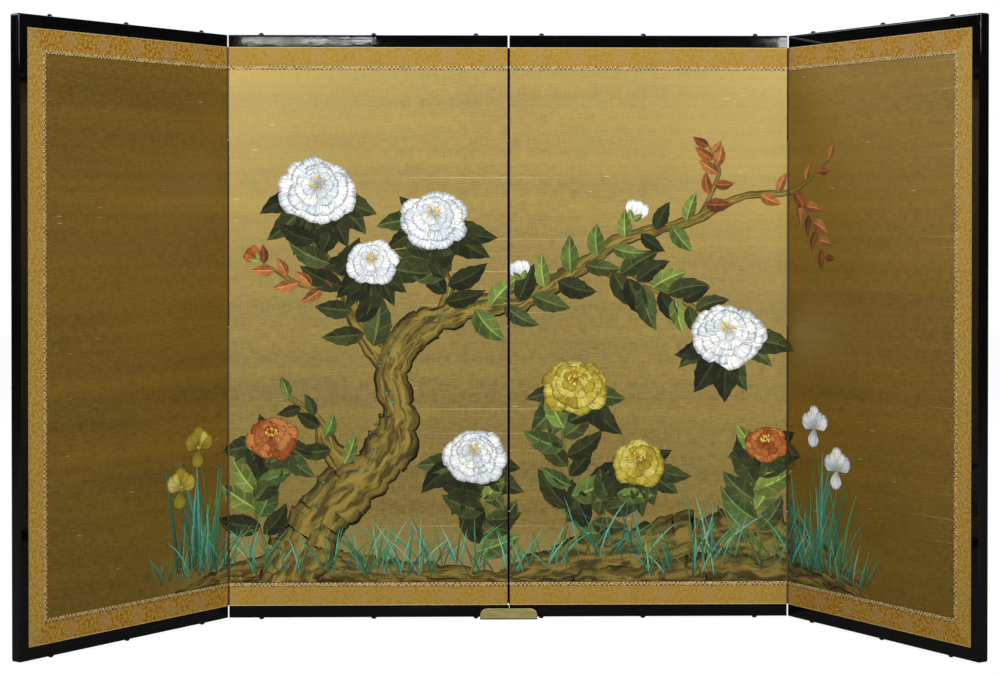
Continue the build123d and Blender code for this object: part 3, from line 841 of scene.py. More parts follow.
def printed_paper():
    """Block-printed paper: deep green black ground, mica rings, matt with a faint mica glint."""
    material, shader, put = surface("mica_printed_paper", IOR=1.5)
    place = put("UVMap", uv_map="cloth")
    cell = put("VectorMath SCALE", place, 1 / RING_PITCH)
    worn = put("TexNoise", place, 180.0, 3.0)
    lines = 0.0
    for start in ((0.0, 0.0, 0.0), (0.5, 0.5, 0.0)):
        inside = put("VectorMath FRACTION", put("VectorMath ADD", cell, start))
        far = put("VectorMath LENGTH", put("VectorMath SUBTRACT", inside, (0.5, 0.5, 0)))
        near = put("Math ABSOLUTE", put("Math SUBTRACT", far, 0.5))
        lines = put("Math MAXIMUM", lines, put("MapRange", near, 0.02, 0.035, 1.0, 0.0))
    inked = put("Math MULTIPLY", lines, worn)
    tone = put("Mix RGBA", inked, put("Mix RGBA", worn, "#20261F", "#2C332A"), "#7B7C5A")
    rough = put("MapRange", inked, 0, 1, 0.8, 0.45)
    bump = put("Bump", 0.2, 0.2 * MM, Height=worn)
    wire(shader, Base_Color=tone, Roughness=rough, Normal=bump)
    return material


cover = printed_paper()
for panel in PANELS:
    low, high = flat_box(panel, "back_paper")
    corners = ((-high.x, low.z), (-low.x, low.z), (-high.x, high.z), (-low.x, high.z))
    patch = pasted_patch(corners, high.y - low.y, PANEL_CELLS)
    mesh = joined("back", [(patch, 0)], [cover])
    mesh.transform(on_back(panel))
    back = as_piece("printed_back", mesh, "back_paper", "back_paper", panel=panel)
    print(back.name, f"{high.x - low.x:.4f} x {high.z - low.z:.4f} m")

# %% [markdown]
# Each fold is joined by four strips of cloth that cross the gap by turns, which is what lets a byobu
# fold both ways with no metal hinge. A strip is a flap glued under one panel's silk, a level lip to
# the crease, and a web that runs through the gap to the other panel's far face. The strips are
# modelled as ribbons along that path, bent at the crease to follow the two panels as they stand.


# %% Hinge cloth
FLAP, GLUED, SLIT = 12 * MM, 3 * MM, 0.2 * MM
STRIP_SHARES, STRIP_ROWS = (1, 2, 2, 1), 6
CLOTH_FRONT = paper_box[2][0].y  # where a flap lies: level with the front lining
CLOTH_BACK = flat_box(2, "back_lining")[1].y
folds = {1: "left_fold", 2: "middle_fold", 3: "right_fold"}


def strip_line(gap):
    """One strip's path in plan, from its lip flap at negative x to its web flap at positive x.
    y grows from the creased face to the far one."""
    depth = CLOTH_BACK - CLOTH_FRONT
    half = CLOTH_THICK / 2
    lip = [(-gap - FLAP, half), (-gap - 0.5 * FLAP, half), (-gap, half), (-0.6 * gap, half * 0.9)]
    crease = [(-0.25 * gap, half * 0.5), (0.0, half * 0.3), (0.12 * gap, 0.06 * depth)]
    web = [(0.3 * gap, 0.24 * depth), (0.62 * gap, 0.52 * depth), (gap - half, depth - GLUED)]
    turn = [(gap - half, depth - 1.2 * MM), (gap - half * 0.6, depth - half * 1.6), (gap, depth - half)]
    flap = [(gap + 0.5 * FLAP, depth - half), (gap + FLAP, depth - half)]
    return lip + crease + web + turn + flap


def ribbon(line, low, high, rows):
    """A closed ribbon of cloth along a line of (x, y), from one height to another."""
    line = [Vector(p) for p in line]
    half = 0.9 * CLOTH_THICK / 2  # a strip is a little thinner than the silk
    sides = ([], [])
    for k, here in enumerate(line):
        before, after = line[max(k - 1, 0)], line[min(k + 1, len(line) - 1)]
        way = (after - before).normalized()
        for side, sign in zip(sides, (1, -1)):
            side.append(here + Vector((-way.y, way.x)) * half * sign)
    outline = sides[0] + sides[1][::-1]
    run = [0.0]
    for a, b in zip(line, line[1:]):
        run.append(run[-1] + (b - a).length)
    lengths = run + run[::-1]
    heights = np.linspace(low, high, rows + 1)
    points = [(p.x, p.y, z) for z in heights for p in outline]
    place = [(length, z) for z in heights for length in lengths]
    count, n = len(outline), len(line)
    faces = ring_quads(rows + 1, count)
    for base, flip in ((0, False), (rows * count, True)):
        for k in range(n - 1):
            quad = (base + k, base + k + 1, base + count - 2 - k, base + count - 1 - k)
            faces.append(quad[::-1] if flip else quad)
    return points, faces, place, run[-1]


# gold brown silk in a fine plain weave, darker where it is worn; both tones are painted deep, as painted
# shade inside the fold's gap
weave = grained(
    "gold_brown_habotai", lambda put: put("Mapping", put("UVMap", uv_map="cloth"), Scale=(500, 260, 1)),
    (1.0, 3.0), ("#33240A", "#5A4214"), (0.4, 0.2 * MM), Roughness=0.7, IOR=1.55)
CREASE_REACH = 0.9 * MM  # how far from the crease the cloth still bends
# the left and the right panel's share of the fold's turn, which is zero for the two middle panels
TURN_SHARES = {1: (1, 0), 2: (0, 0), 3: (0, 1)}
for fold, joint_name in folds.items():
    joint = joints[joint_name]
    pivot = Vector(joint["pos_m"])
    left, right = f"panel_{fold}", f"panel_{fold + 1}"
    core_low, core_high = paper_box[fold][1], paper_box[fold + 1][0]
    line = strip_line((core_high.x - core_low.x) / 2)
    near, way = (CLOTH_BACK, -1) if fold == 2 else (CLOTH_FRONT, 1)
    top, bottom = core_low.z, paper_box[fold][0].z
    # at rest the outer folds are turned, so the cloth is turned with them, shared across the crease
    angle = radians(-joint["range_deg"][0]) * joint["axis"][2]
    before, after = TURN_SHARES[fold]
    patches = []
    high = top
    for number, share in enumerate(STRIP_SHARES):
        low = high - share * (top - bottom) / sum(STRIP_SHARES)
        # the web is on the left panel for the first and third strips
        side = -1 if number % 2 == 0 else 1
        points, shape, spots, long = ribbon(line, low + SLIT / 2, high - SLIT / 2, STRIP_ROWS)
        turned = []
        for x, y, z in points:
            from_pivot = Vector((side * x, near + way * y - pivot.y, z - pivot.z))
            w = min(max((from_pivot.x + CREASE_REACH) / (2 * CREASE_REACH), 0), 1)
            w = w * w * (3 - 2 * w)
            turn = angle * (before * (1 - w) + after * w)
            turned.append(Matrix.Rotation(turn, 3, "Z") @ from_pivot + pivot)
        if side * way < 0:
            shape = [face[::-1] for face in shape]
        patches.append(((turned, shape, spots), 0))
        high = low
    mesh = joined("hinge", patches, [weave])
    cloth = as_piece(f"fold_{fold}_hinge_strips", mesh, "hinge_cloth",
                     f"hinge_{fold}_cloth_on_{left}", f"hinge_{fold}_cloth_on_{right}")
    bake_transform(cloth)
    print(cloth.name, f"{long:.4f} x {top - bottom:.4f} m", len(mesh.polygons), "faces")

# %% [markdown]
# The painting is done in mineral colours bound with glue. They are thick and matt, and stand a
# little proud of the silk. Nearly every mark is one touch of the brush, with a root, a length, a
# width and a bend, so four marks are shaped once and Geometry Nodes lays them hundreds of times. A
# picture mapped on the silk would be quicker, but it would be flat and blur close up.


# %% The brush marks
def brush_mark(name, along, across, tip, breadth, relief):
    """A mark whose points all lie at the origin and carry where they go: along and across the
    stroke, and up from it. Below zero, the last means the underside."""
    faces, rim = slab(along + 1, across + 1)
    spots = [(t, s) for s in np.linspace(-1, 1, across + 1) for t in np.linspace(0, 1, along + 1)]
    stroke = [(t * tip(t, s), s * breadth(t) / 2, relief(t, s)) for t, s in spots]
    stroke += [(stroke[k][0], stroke[k][1], -1.0) for k in rim]
    shading = [(t, s, 0.0) for t, s in spots] + [(*spots[k], 0.0) for k in rim]
    made = mesh_object(name, [(0, 0, 0)] * len(stroke), (), faces, smooth=True)
    for label, values in (("stroke", stroke), ("brush", shading)):
        layer = made.data.attributes.new(label, "FLOAT_VECTOR", "POINT")
        layer.data.foreach_set("vector", [c for value in values for c in value])
    lips = {frozenset(pair) for pair in zip(rim, rim[1:] + rim[:1])}
    made.data.edges.foreach_set("use_edge_sharp", [frozenset(e.vertices) in lips for e in made.data.edges])
    return made


marks = {
    "petals": brush_mark(
        "petal_mark", 6, 6,
        lambda t, s: 1 - t * (0.30 * s * s + 0.07 * np.exp(-((s / 0.2) ** 2)) - 0.03 * cos(9 * s)),
        lambda t: 0.16 + 0.84 * sin(1.95 * t) ** 1.1,
        lambda t, s: 0.5 + 0.5 * cos(5 * s) * t),
    "leaves": brush_mark(
        "leaf_mark", 9, 4,
        lambda t, s: 1 - 0.05 * s * s,
        lambda t: 0.03 + sin(pi * min(t, 0.995) ** 0.8) ** 0.85 * (1 + 0.07 * sin(30 * t)),
        lambda t, s: abs(s) * (1 - t)),
    "blades": brush_mark(
        "blade_mark", 7, 2,
        lambda t, s: 1.0,
        lambda t: min(1.0, 0.35 + 3 * t) * (1 - t) ** 0.75 + 0.03,
        lambda t, s: 1 - abs(s)),
    "dabs": brush_mark(
        "dab_mark", 3, 2,
        lambda t, s: 1.0,
        lambda t: 0.3 + 0.7 * sin(pi * t),
        lambda t, s: sin(pi * t) * (1 - abs(s)))}
print({name: len(mark.data.polygons) for name, mark in marks.items()}, "faces a mark")

# %% The tree that lays them
STROKE_VALUES = ("angle", "length", "width", "bend", "lift")
laying, given, put = tree_with(
    "lay_strokes", Mark="Object", Relief=0.06 * MM, Sunk=0.02 * MM, Paint="Material")
mark = put("ObjectInfo", Object=given["Mark"]).outputs["Geometry"]
spread = put("InstanceOnPoints", Points=given["Geometry"], Instance=mark)
real = put("RealizeInstances", Geometry=spread)
value = {name: put("InputNamedAttribute", Name=name) for name in STROKE_VALUES}
spot = put("InputNamedAttribute", Name="stroke", data_type="FLOAT_VECTOR")
spot = put("SeparateXYZ", spot).outputs
turned = put("Math MULTIPLY", value["bend"], spot[0])
half_way = put("Math MULTIPLY_ADD", turned, 0.5, value["angle"])
whole_way = put("Math ADD", turned, value["angle"])
far = put("Math MULTIPLY", value["length"], spot[0])
aside = put("Math MULTIPLY", value["width"], spot[1])
ahead = put("VectorRotate", put("CombineXYZ", far), Angle=half_way, rotation_type="Z_AXIS")
aside = put("CombineXYZ", Y=aside)
aside = put("VectorRotate", aside, Angle=whole_way, rotation_type="Z_AXIS")
raised = put("Math MULTIPLY_ADD", spot[2], given["Relief"], value["lift"])
under = put("Math LESS_THAN", spot[2], 0.0)
height = put("Mix", under, raised, put("Math MULTIPLY", given["Sunk"], -1.0))
height = put("CombineXYZ", Z=height)
shift = put("VectorMath ADD", put("VectorMath ADD", ahead, aside), height)
laid = put("SetPosition", Geometry=real, Offset=shift)
coated = put("SetMaterial", Geometry=laid, Material=given["Paint"])
put("GroupOutput", Geometry=coated)

# %% [markdown]
# A trunk and its boughs are drawn as lines with a half width at each point. The tree smooths each
# line, makes it wander a little as old wood does, and sweeps a flat section along it.

# %% The tree that draws boughs
boughing, given, put = tree_with(
    "draw_boughs", Step=4 * MM, Gnarl=0.9, Relief=0.08 * MM, Sunk=0.02 * MM, Paint="Material")
line = put("MeshToCurve", Mesh=given["Geometry"])
line = put("CurveSplineType", Curve=line, spline_type="CATMULL_ROM")
line = put("ResampleCurve", Curve=line, Length=given["Step"], mode="LENGTH")
length = put("SplineParameter").outputs["Length"]
line = put("StoreNamedAttribute", Geometry=line, Name="along", Value=length)
half = put("InputNamedAttribute", Name="half")
knots = put("TexNoise", Scale=34.0, Detail=2.0)
radius = put("Math MULTIPLY", half, put("MapRange", knots, 0.3, 0.7, 0.72, 1.3))
drift = put("VectorMath SUBTRACT", knots.outputs[1], (0.5, 0.5, 0.5))
drift = put("VectorMath MULTIPLY", drift, (1, 1, 0))
slim = put("Math MINIMUM", half, 14 * MM)  # a thick trunk would fold over itself
drift = put("VectorMath SCALE", drift, put("Math MULTIPLY", slim, given["Gnarl"]))
line = put("SetPosition", Geometry=line, Offset=drift)
line = put("SetCurveNormal", Curve=line, mode="Z_UP")
ring = put("CurvePrimitiveCircle", Resolution=10, Radius=1.0)
spot = put("SeparateXYZ", put("InputPosition")).outputs
for name, socket in (("across", spot[0]), ("upward", spot[1])):
    ring = put("StoreNamedAttribute", Geometry=ring, Name=name, Value=socket)
swept = put("CurveToMesh", Curve=line, Profile_Curve=ring, Scale=radius, Fill_Caps=True)
upward = put("InputNamedAttribute", Name="upward")
top = put("Math ADD", put("InputNamedAttribute", Name="lift"), given["Relief"])
height = put("MapRange", upward, -0.6, 0.3, put("Math MULTIPLY", given["Sunk"], -1.0), top)
place = put("CombineXYZ", spot[0], spot[1], height)
real = put("RealizeInstances", Geometry=put("SetPosition", Geometry=swept, Position=place))
coated = put("SetMaterial", Geometry=real, Material=given["Paint"])
put("GroupOutput", Geometry=coated)

# %% [markdown]
# Each mark carries its own colour, called its tone. The paint then does what a painter's second and
# third touches do: a deeper root, fine lines along a petal, a pale midrib and veins on a leaf, and
# a thin dark outline. Mineral colour is ground rock and shell, so it is matt and slightly grainy.


# %% Mineral colours
def mineral_colour(name, reads, figure):
    """Ground mineral and shell in glue: matt and grainy. reads gives a mark's own place, and figure
    how light the paint is there."""
    material, shader, put = surface(name, Roughness=0.86, IOR=1.5, Specular_IOR_Level=0.25)
    tone = put("Attribute", attribute_name="tone").outputs["Color"]
    place = put("TexCoord").outputs["Object"]
    grains = put("TexNoise", place, 420.0, 3.0)
    grain = put("MapRange", grains, 0.3, 0.7, 0.88, 1.1)
    light = figure(put, *reads(put), place)
    colour = put("VectorMath SCALE", tone, put("Math MULTIPLY", light, grain))
    bump = put("Bump", 0.2, 0.15 * MM, Height=grains)
    wire(shader, Base_Color=colour, Normal=bump)
    return material


def stroke_place(put):
    """A stroke's own place: 0 to 1 from root to tip, and -1 to 1 across."""
    brush = put("Attribute", attribute_name="brush").outputs["Vector"]
    return put("SeparateXYZ", brush).outputs[:2]


def bough_place(put):
    """A bough's own place: metres along it, and -1 to 1 across."""
    return [put("Attribute", attribute_name=name).outputs["Fac"] for name in ("along", "across")]


def petal_figure(put, along, across, place):
    """Fine lines run from root to tip, the root is in shade, and the rim has a thin outline."""
    lines_at = put("CombineXYZ", across, along)
    lines_at = put("VectorMath MULTIPLY_ADD", lines_at, (5.5, 0.9, 1.0), place)
    lined = put("MapRange", put("TexNoise", lines_at, 1.6, 2.0), 0.40, 0.56, 0.62, 1.0)
    root = put("MapRange", along, 0.05, 0.6, 0.45, 1.0)
    rim = put("Math MAXIMUM", put("Math ABSOLUTE", across), along)
    rim = put("MapRange", rim, 0.87, 0.97, 1.0, 0.5)
    return put("Math MULTIPLY", put("Math MULTIPLY", lined, root), rim)


def leaf_figure(put, along, across, place):
    """A pale midrib and slanting veins, and one half of the leaf darker than the other."""
    off = put("Math ABSOLUTE", across)
    rib = put("MapRange", off, 0.05, 0.12, 1.6, 0.0)
    vein_at = put("Math MULTIPLY_ADD", along, 7.0, put("Math MULTIPLY_ADD", off, -1.4, 0.0))
    vein = put("MapRange", put("Math PINGPONG", vein_at, 1.0), 0.0, 0.16, 0.9, 0.0)
    half = put("MapRange", across, -0.1, 0.1, 0.72, 1.25)
    patchy = put("MapRange", put("TexNoise", place, 45.0, 3.0), 0.35, 0.65, 0.75, 1.3)
    light = put("Math MULTIPLY", half, patchy)
    return put("Math ADD", light, put("Math MAXIMUM", rib, vein))


def blade_figure(put, along, across, place):
    """A blade is deep at its root and pale at its tip, with one side in shade."""
    tip = put("MapRange", along, 0.0, 0.8, 0.55, 1.25)
    return put("Math MULTIPLY", tip, put("MapRange", across, -0.2, 0.2, 0.75, 1.1))


def dab_figure(put, along, across, place):
    """A dab is palest in the middle, where the paint stands highest."""
    return put("MapRange", put("Math ABSOLUTE", across), 0, 1, 1.15, 0.6)


def bark_figure(put, along, across, place):
    """Ink lines follow the wood, gather in the hollows and close along both edges."""
    lines_at = put("CombineXYZ", across, along)
    lines_at = put("VectorMath MULTIPLY_ADD", lines_at, (2.2, 16.0, 1.0), place)
    lines = put("TexNoise", lines_at, 1.7, 5.0, Distortion=0.8)
    inked = put("MapRange", lines, 0.40, 0.60, 0.30, 1.15)
    edge = put("MapRange", put("Math ABSOLUTE", across), 0.55, 0.95, 1.0, 0.35)
    return put("Math MULTIPLY", inked, edge)


paints = {
    "petals": mineral_colour("shell_white_and_ochre", stroke_place, petal_figure),
    "leaves": mineral_colour("malachite_and_ink", stroke_place, leaf_figure),
    "blades": mineral_colour("pale_malachite", stroke_place, blade_figure),
    "dabs": mineral_colour("raised_yellow_ochre", stroke_place, dab_figure),
    "boughs": mineral_colour("ink_and_umber", bough_place, bark_figure)}
print("paints:", [mineral.name for mineral in paints.values()])

# %% [markdown]
# The picture is planned as a painter would plan it. An old camellia leans from the lower left over
# the middle fold, and tree peonies, irises and grasses stand below it. The plan is lists of strokes:
# root, angle, length, width, bend, lift and tone. Later strokes lift higher, so they lie on top.

# %% Strokes and sprays
WHITES = ("#E9EDEE", "#DDE4E8", "#D2DBE0", "#F2F3EF")
YELLOWS = ("#BCA83C", "#AE9A2C", "#CABB5A", "#9E8A26")
ORANGES = ("#A85E28", "#8E4A1C", "#B87438")
DARKS = ("#23280F", "#2E3416", "#1D220E", "#3A421F")
GREENS = ("#4C5C28", "#5E6C30", "#3F4F24", "#6E7A3C")
TEALS = ("#35806A", "#285F4C", "#549A7E", "#41794C", "#6BAA8C")
RUSSETS = ("#70401C", "#5C3216", "#82522A")
STAMENS, STAMEN_TONES = 26, ("#D8B23A", "#E6CC62", "#B48A24")  # in a full bloom
THROAT_DABS, THROAT_TONES = 5, ("#D8B23A", "#C89A2A")  # in an iris
PAINTER_SEED = 21
strokes = {kind: [] for kind in paints}
rng = np.random.default_rng(PAINTER_SEED)


def lay(kind, root, tip, width, bend, tones, lift):
    """One stroke from a root to a tip, in one of a few tones."""
    way = Vector(tip) - Vector(root)
    tone = paint(tones[rng.integers(len(tones))])
    angle = np.arctan2(way.y, way.x) - bend / 2
    strokes[kind].append((root[0], root[1], angle, way.length, width, bend, lift * MM, tone))


def bloom(x, y, size, tones, tilt=0.82, rows=4, most=12, broad=0.74, turn=0.3, leafy=7):
    """A full bloom over a few dark leaves, laid from its outer petals inwards, with stamens."""
    for n in range(leafy):
        a = -pi / 2 + 2.3 * (n + rng.uniform(-0.3, 0.3) - (leafy - 1) / 2) / leafy * 1.35
        out = Vector((cos(a), sin(a)))
        root = Vector((x, y)) + out * 0.22 * size
        tip = Vector((x, y)) + out * (0.5 * size + rng.uniform(0.022, 0.05))
        width = (tip - root).length * rng.uniform(0.42, 0.55)
        lay("leaves", root, tip, width, rng.uniform(-0.7, 0.7), DARKS, 0.24 + 0.004 * n)
    for row in range(rows):
        share = 1 - 0.78 * row / rows
        count = most - 2 * row
        for n in range(count):
            a = turn + 2 * pi * (n + 0.5 * (row % 2) + rng.uniform(-0.2, 0.2)) / count
            reach = size / 2 * share * rng.uniform(0.88, 1.06)
            out = Vector((cos(a), tilt * sin(a)))
            heart = Vector((x, y + 0.03 * size * row))
            width = reach * broad * rng.uniform(0.85, 1.15) * (1 - 0.25 * abs(sin(a)) * (1 - tilt))
            bend, lift = rng.uniform(-0.5, 0.5), 0.42 + 0.06 * row + 0.002 * n
            lay("petals", heart + out * reach * 0.08, heart + out * reach, width, bend, tones, lift)
    for n in range(STAMENS):
        a, far = rng.uniform(0, 2 * pi), 0.11 * size * rng.uniform(0.1, 1) ** 0.5
        spot = Vector((x + far * cos(a), y + 0.1 * size + 0.7 * far * sin(a)))
        lay("dabs", spot, spot + Vector((0, 3.2 * MM)), 2.6 * MM, 0, STAMEN_TONES, 0.68)


def bud(x, y, size, tones, way=1.4):
    """A bud: three petals held in two small sepals."""
    for off in (-0.35, 0.35, 0.0):
        tip = Vector((x, y)) + size * Vector((cos(way + off), sin(way + off)))
        lay("petals", (x, y), tip, size * 0.62, -off, tones, 0.40)
    for off in (-0.6, 0.6):
        tip = Vector((x, y)) + 0.55 * size * Vector((cos(way + off), sin(way + off)))
        lay("leaves", (x, y), tip, size * 0.3, -off, GREENS, 0.44)


def bough(points, tone, lift=0.04):
    """A line of (x, y, half width in mm), painted as wood or as a green stem."""
    strokes["boughs"].append(([(x, y, w * MM) for x, y, w in points], paint(tone), lift * MM))


def spray(points, count, size, tones, lift=0.24, start=0.15):
    """Leaves by turns on both sides of a line of points, smaller towards its tip."""
    line = [Vector(p[:2]) for p in points]
    for n in range(count):
        share = start + (1 - start) * n / max(count - 1, 1)
        at = share * (len(line) - 1)
        k = min(int(at), len(line) - 2)
        here = line[k].lerp(line[k + 1], at - k)
        way = line[k + 1] - line[k]
        side = 1 if n % 2 else -1
        a = np.arctan2(way.y, way.x) + side * rng.uniform(0.5, 1.15)
        length = size * rng.uniform(0.75, 1.1) * (1 - 0.35 * share)
        tip = here + length * Vector((cos(a), sin(a)))
        width = length * rng.uniform(0.40, 0.52)
        lay("leaves", here, tip, width, -side * rng.uniform(0.1, 0.7), tones, lift + 0.004 * n)


def tuft(x, y, count, size, width, tones, fan=0.9, lift=0.30):
    """Blades that fan out from one root and bend over."""
    for n in range(count):
        lean = fan * rng.uniform(-1, 1)
        root = Vector((x + rng.uniform(-1, 1) * 0.012 * count ** 0.5, y + rng.uniform(-1, 1) * 4 * MM))
        length = size * rng.uniform(0.55, 1.1)
        tip = root + length * Vector((sin(lean), cos(lean)))
        broad = width * rng.uniform(0.7, 1.2)
        lay("blades", root, tip, broad, -lean * rng.uniform(0.5, 1.3), tones, lift + 0.003 * n)


def iris(x, y, size, tones):
    """An iris flower: three falls that hang and three standards above, on a yellow throat."""
    for a, share in ((0.45, 0.9), (2.7, 0.9), (4.6, 0.8), (1.0, 0.8), (2.2, 0.8), (1.57, 0.95)):
        tip = Vector((x, y)) + size / 2 * share * Vector((cos(a), sin(a)))
        lay("petals", (x, y), tip, size * 0.34, 0.3 * (1 if cos(a) < 0 else -1), tones, 0.42)
    for n in range(THROAT_DABS):
        spot = Vector((x + rng.uniform(-3, 3) * MM, y + rng.uniform(-3, 3) * MM))
        lay("dabs", spot, spot + Vector((0, 4 * MM)), 2.4 * MM, 0, THROAT_TONES, 0.50)


# %% The old camellia
WOOD, STEM, BANK = "#83702F", "#6C7434", "#75652A"
MOSS_DOTS = 70
trunk = [
    (-0.355, 0.02, 56), (-0.325, 0.11, 48), (-0.275, 0.185, 42), (-0.205, 0.245, 37), (-0.172, 0.318, 31),
    (-0.184, 0.388, 28), (-0.15, 0.45, 25), (-0.07, 0.485, 21), (0.02, 0.50, 18), (0.10, 0.545, 14),
    (0.185, 0.60, 11), (0.28, 0.625, 8), (0.37, 0.665, 6), (0.455, 0.675, 4), (0.54, 0.72, 1.5)]
limbs = [
    [(-0.178, 0.385, 20), (-0.235, 0.46, 13), (-0.262, 0.53, 9), (-0.305, 0.60, 6), (-0.30, 0.655, 4)],
    [(-0.105, 0.475, 13), (-0.095, 0.53, 9), (-0.135, 0.585, 6), (-0.125, 0.63, 4)],
    [(0.13, 0.56, 10), (0.205, 0.53, 7), (0.275, 0.50, 5), (0.335, 0.455, 3)],
    [(-0.235, 0.22, 26), (-0.285, 0.275, 15), (-0.30, 0.315, 8), (-0.345, 0.35, 3)],
    [(-0.25, 0.52, 6), (-0.32, 0.525, 4), (-0.385, 0.56, 2)],
    [(0.30, 0.632, 5), (0.33, 0.70, 3), (0.315, 0.745, 1.5)],
    [(0.455, 0.675, 3), (0.50, 0.625, 2.2), (0.53, 0.57, 1.2)]]
roots = [
    [(-0.33, 0.085, 30), (-0.40, 0.07, 27), (-0.47, 0.062, 18), (-0.56, 0.055, 6)],
    [(-0.31, 0.085, 32), (-0.235, 0.075, 30), (-0.15, 0.068, 24), (-0.05, 0.06, 18), (0.03, 0.055, 6)]]
bank = [
    [(0.64, 0.055, 5), (0.54, 0.09, 24), (0.42, 0.12, 40), (0.28, 0.115, 48), (0.12, 0.09, 40),
     (-0.02, 0.06, 16)],
    [(0.60, 0.045, 8), (0.46, 0.06, 30), (0.33, 0.055, 44), (0.18, 0.05, 34), (0.04, 0.045, 12)]]
for n, line in enumerate(bank + roots):
    bough(line, BANK, -0.04 + 0.03 * n)
for line in limbs:
    bough(line, WOOD, 0.06)
bough(trunk, WOOD, 0.10)
for n in range(MOSS_DOTS):  # moss, dotted in malachite along the upper side of the trunk
    k = rng.integers(1, 8)
    here = Vector(trunk[k][:2]).lerp(Vector(trunk[k + 1][:2]), rng.uniform(0, 1))
    spot = here + Vector((-1, 0.6)) * trunk[k][2] * MM * rng.uniform(0.1, 0.75)
    tip = spot + Vector((0, rng.uniform(2.5, 5) * MM))
    lay("dabs", spot, tip, rng.uniform(3, 6) * MM, 0, TEALS[:2] + GREENS[:2], 0.21)
leafage = [(14, 0.086, DARKS + GREENS[:1]), (12, 0.084, DARKS), (16, 0.084, DARKS + GREENS[:2]),
           (7, 0.060, DARKS + GREENS), (7, 0.052, RUSSETS), (8, 0.048, RUSSETS), (8, 0.046, RUSSETS)]
for line, (count, size, tones) in zip(limbs, leafage):
    spray(line, count, size, tones)
spray(trunk[7:12], 16, 0.078, DARKS + GREENS[:2], start=0.05)
spray(trunk[12:], 6, 0.050, RUSSETS)
bloom(-0.300, 0.672, 0.130, WHITES)
bloom(-0.118, 0.628, 0.116, WHITES, turn=0.9)
bloom(-0.215, 0.560, 0.092, WHITES, rows=3, most=10)
bloom(0.345, 0.445, 0.126, WHITES, turn=1.4)
bud(0.195, 0.628, 0.034, WHITES, 1.2)
bud(0.02, 0.535, 0.032, WHITES, 1.8)
bud(-0.392, 0.565, 0.026, ORANGES, 2.4)

# %% Peonies, irises and grass
GRASS_WIDTH, IRIS_WIDTH = 3.4 * MM, 8 * MM  # of a blade
plants = [
    ([(0.075, 0.09, 3), (0.10, 0.20, 2.6), (0.085, 0.29, 2.2), (0.105, 0.365, 1.8)], YELLOWS, 0.112, 11),
    ([(0.085, 0.11, 2.4), (0.15, 0.17, 2.2), (0.205, 0.245, 1.8)], YELLOWS, 0.094, 7),
    ([(-0.375, 0.10, 2.6), (-0.40, 0.19, 2.2), (-0.372, 0.285, 1.8)], ORANGES, 0.086, 8),
    ([(-0.06, 0.07, 2.6), (-0.035, 0.16, 2.2), (-0.055, 0.255, 1.8)], WHITES, 0.108, 8),
    ([(0.40, 0.10, 2.4), (0.385, 0.20, 2.0), (0.405, 0.275, 1.6)], ORANGES, 0.074, 7)]
for line, tones, size, count in plants:
    bough(line, STEM, 0.13)
    spray(line, count + 4, 0.086, GREENS[:3] + DARKS, start=0.2)
    rows, most = (3, 11) if size < 0.1 else (4, 13)
    bloom(*line[-1][:2], size, tones, rows=rows, most=most)
for x, y, tones in ((-0.505, 0.275, YELLOWS), (-0.545, 0.215, YELLOWS), (0.505, 0.305, WHITES),
                    (0.56, 0.245, WHITES)):
    foot = (x + (0.02 if x < 0 else -0.02), 0.10)
    bough([(*foot, 2.4), ((x + foot[0]) / 2 + 0.006, (y + 0.1) / 2, 2.0), (x, y, 1.6)], STEM, 0.13)
    iris(x, y, 0.078, tones)
    tuft(foot[0], foot[1] - 0.012, 9, 0.165, IRIS_WIDTH, TEALS[:4], fan=0.35)
for x, y, count, size in (
        (-0.43, 0.085, 22, 0.085), (-0.36, 0.075, 16, 0.06), (-0.24, 0.075, 24, 0.08),
        (-0.17, 0.072, 26, 0.10), (-0.09, 0.085, 22, 0.08), (-0.02, 0.075, 14, 0.06),
        (0.05, 0.085, 18, 0.07), (0.16, 0.100, 26, 0.095), (0.27, 0.070, 24, 0.075),
        (0.34, 0.095, 26, 0.11), (0.46, 0.085, 30, 0.115), (0.53, 0.085, 26, 0.10),
        (0.595, 0.075, 16, 0.06), (-0.49, 0.080, 20, 0.09), (-0.56, 0.075, 12, 0.055)):
    tuft(x, y, count, size, GRASS_WIDTH, TEALS + GREENS[:2])
print({kind: len(lines) for kind, lines in strokes.items()}, "strokes")


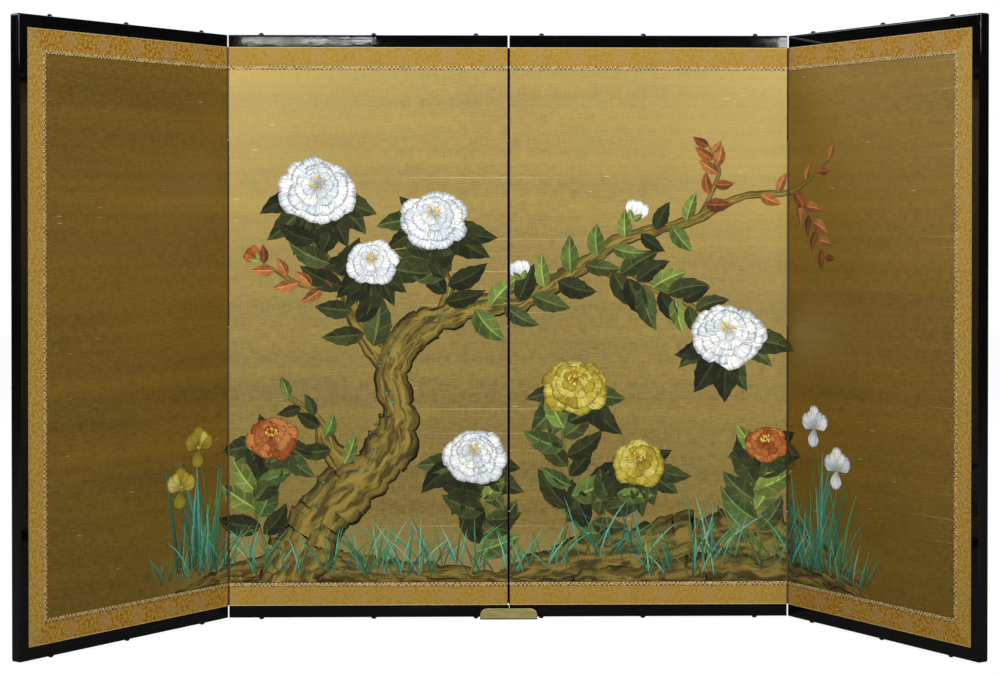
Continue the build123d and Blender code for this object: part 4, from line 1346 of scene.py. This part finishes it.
# %% Cut at each panel's edges
def trimmed(mesh, low, high):
    """Cuts a drawing off at a panel's edges, and closes every cut."""
    work = bmesh.new()
    work.from_mesh(mesh)
    for axis in (0, 1):
        for edge, way in ((low[axis], -1), (high[axis], 1)):
            point, normal = Vector(), Vector()
            point[axis], normal[axis] = edge, way
            every = work.verts[:] + work.edges[:] + work.faces[:]
            cut = bmesh.ops.bisect_plane(work, geom=every, plane_co=point, plane_no=normal, clear_outer=True)
            lips = [part for part in cut["geom_cut"] if isinstance(part, bmesh.types.BMEdge)]
            bmesh.ops.holes_fill(work, edges=lips)
    work.to_mesh(mesh)
    work.free()


def stroke_host(kind, low, high):
    """A mesh that holds the strokes near one panel, with their values as attributes."""
    edges = []
    if kind == "boughs":
        lines = [row for row in strokes[kind]
                 if max(p[0] for p in row[0]) > low and min(p[0] for p in row[0]) < high]
        near = [(*p, lift, tone) for line, tone, lift in lines for p in line]
        first = 0
        for line, _, _ in lines:
            edges += [(k, k + 1) for k in range(first, first + len(line) - 1)]
            first += len(line)
        names = ("half", "lift")
    else:
        near = [row for row in strokes[kind] if low - row[3] < row[0] < high + row[3]]
        names = STROKE_VALUES
    host = mesh_object(kind, [(*row[:2], 0) for row in near], edges)
    for n, name in enumerate(names, 2):
        layer = host.data.attributes.new(name, "FLOAT", "POINT")
        layer.data.foreach_set("value", [row[n] for row in near])
    layer = host.data.attributes.new("tone", "FLOAT_COLOR", "POINT")
    layer.data.foreach_set("color", [c for row in near for c in row[-1]])
    return host


UNDER_BRAID, CLEAR_OF_FOLD = BRAID_WIDTH / 2 + 0.1 * MM, 0.3 * MM
for panel in PANELS:
    (x0, _, z0), (x1, _, z1) = silk_box[panel]
    low = (x0 + (UNDER_BRAID if panel == 1 else CLEAR_OF_FOLD), z0 + UNDER_BRAID)
    high = (x1 - (UNDER_BRAID if panel == 4 else CLEAR_OF_FOLD), z1 - UNDER_BRAID)
    for kind in strokes:
        host = stroke_host(kind, low[0], high[0])
        if kind == "boughs":
            mesh = grown(host, boughing, Paint=paints[kind])
        else:
            mesh = grown(host, laying, Mark=marks[kind], Paint=paints[kind])
        trimmed(mesh, low, high)
        mesh.transform(on_front(panel))
        if len(mesh.polygons):
            painted = as_piece(f"painted_{kind}", mesh, "painted_silk", panel=panel)
            print(painted.name, len(mesh.polygons), "faces")
for mark in marks.values():
    bpy.data.objects.remove(mark)

# %% The size of the dressed screen
size = {"cad": cad_box, "visual": [list(corner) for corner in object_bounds()]}
for corner in range(2):
    print([round(v - c, 5) for v, c in zip(size["visual"][corner], size["cad"][corner])], "m off the CAD box")
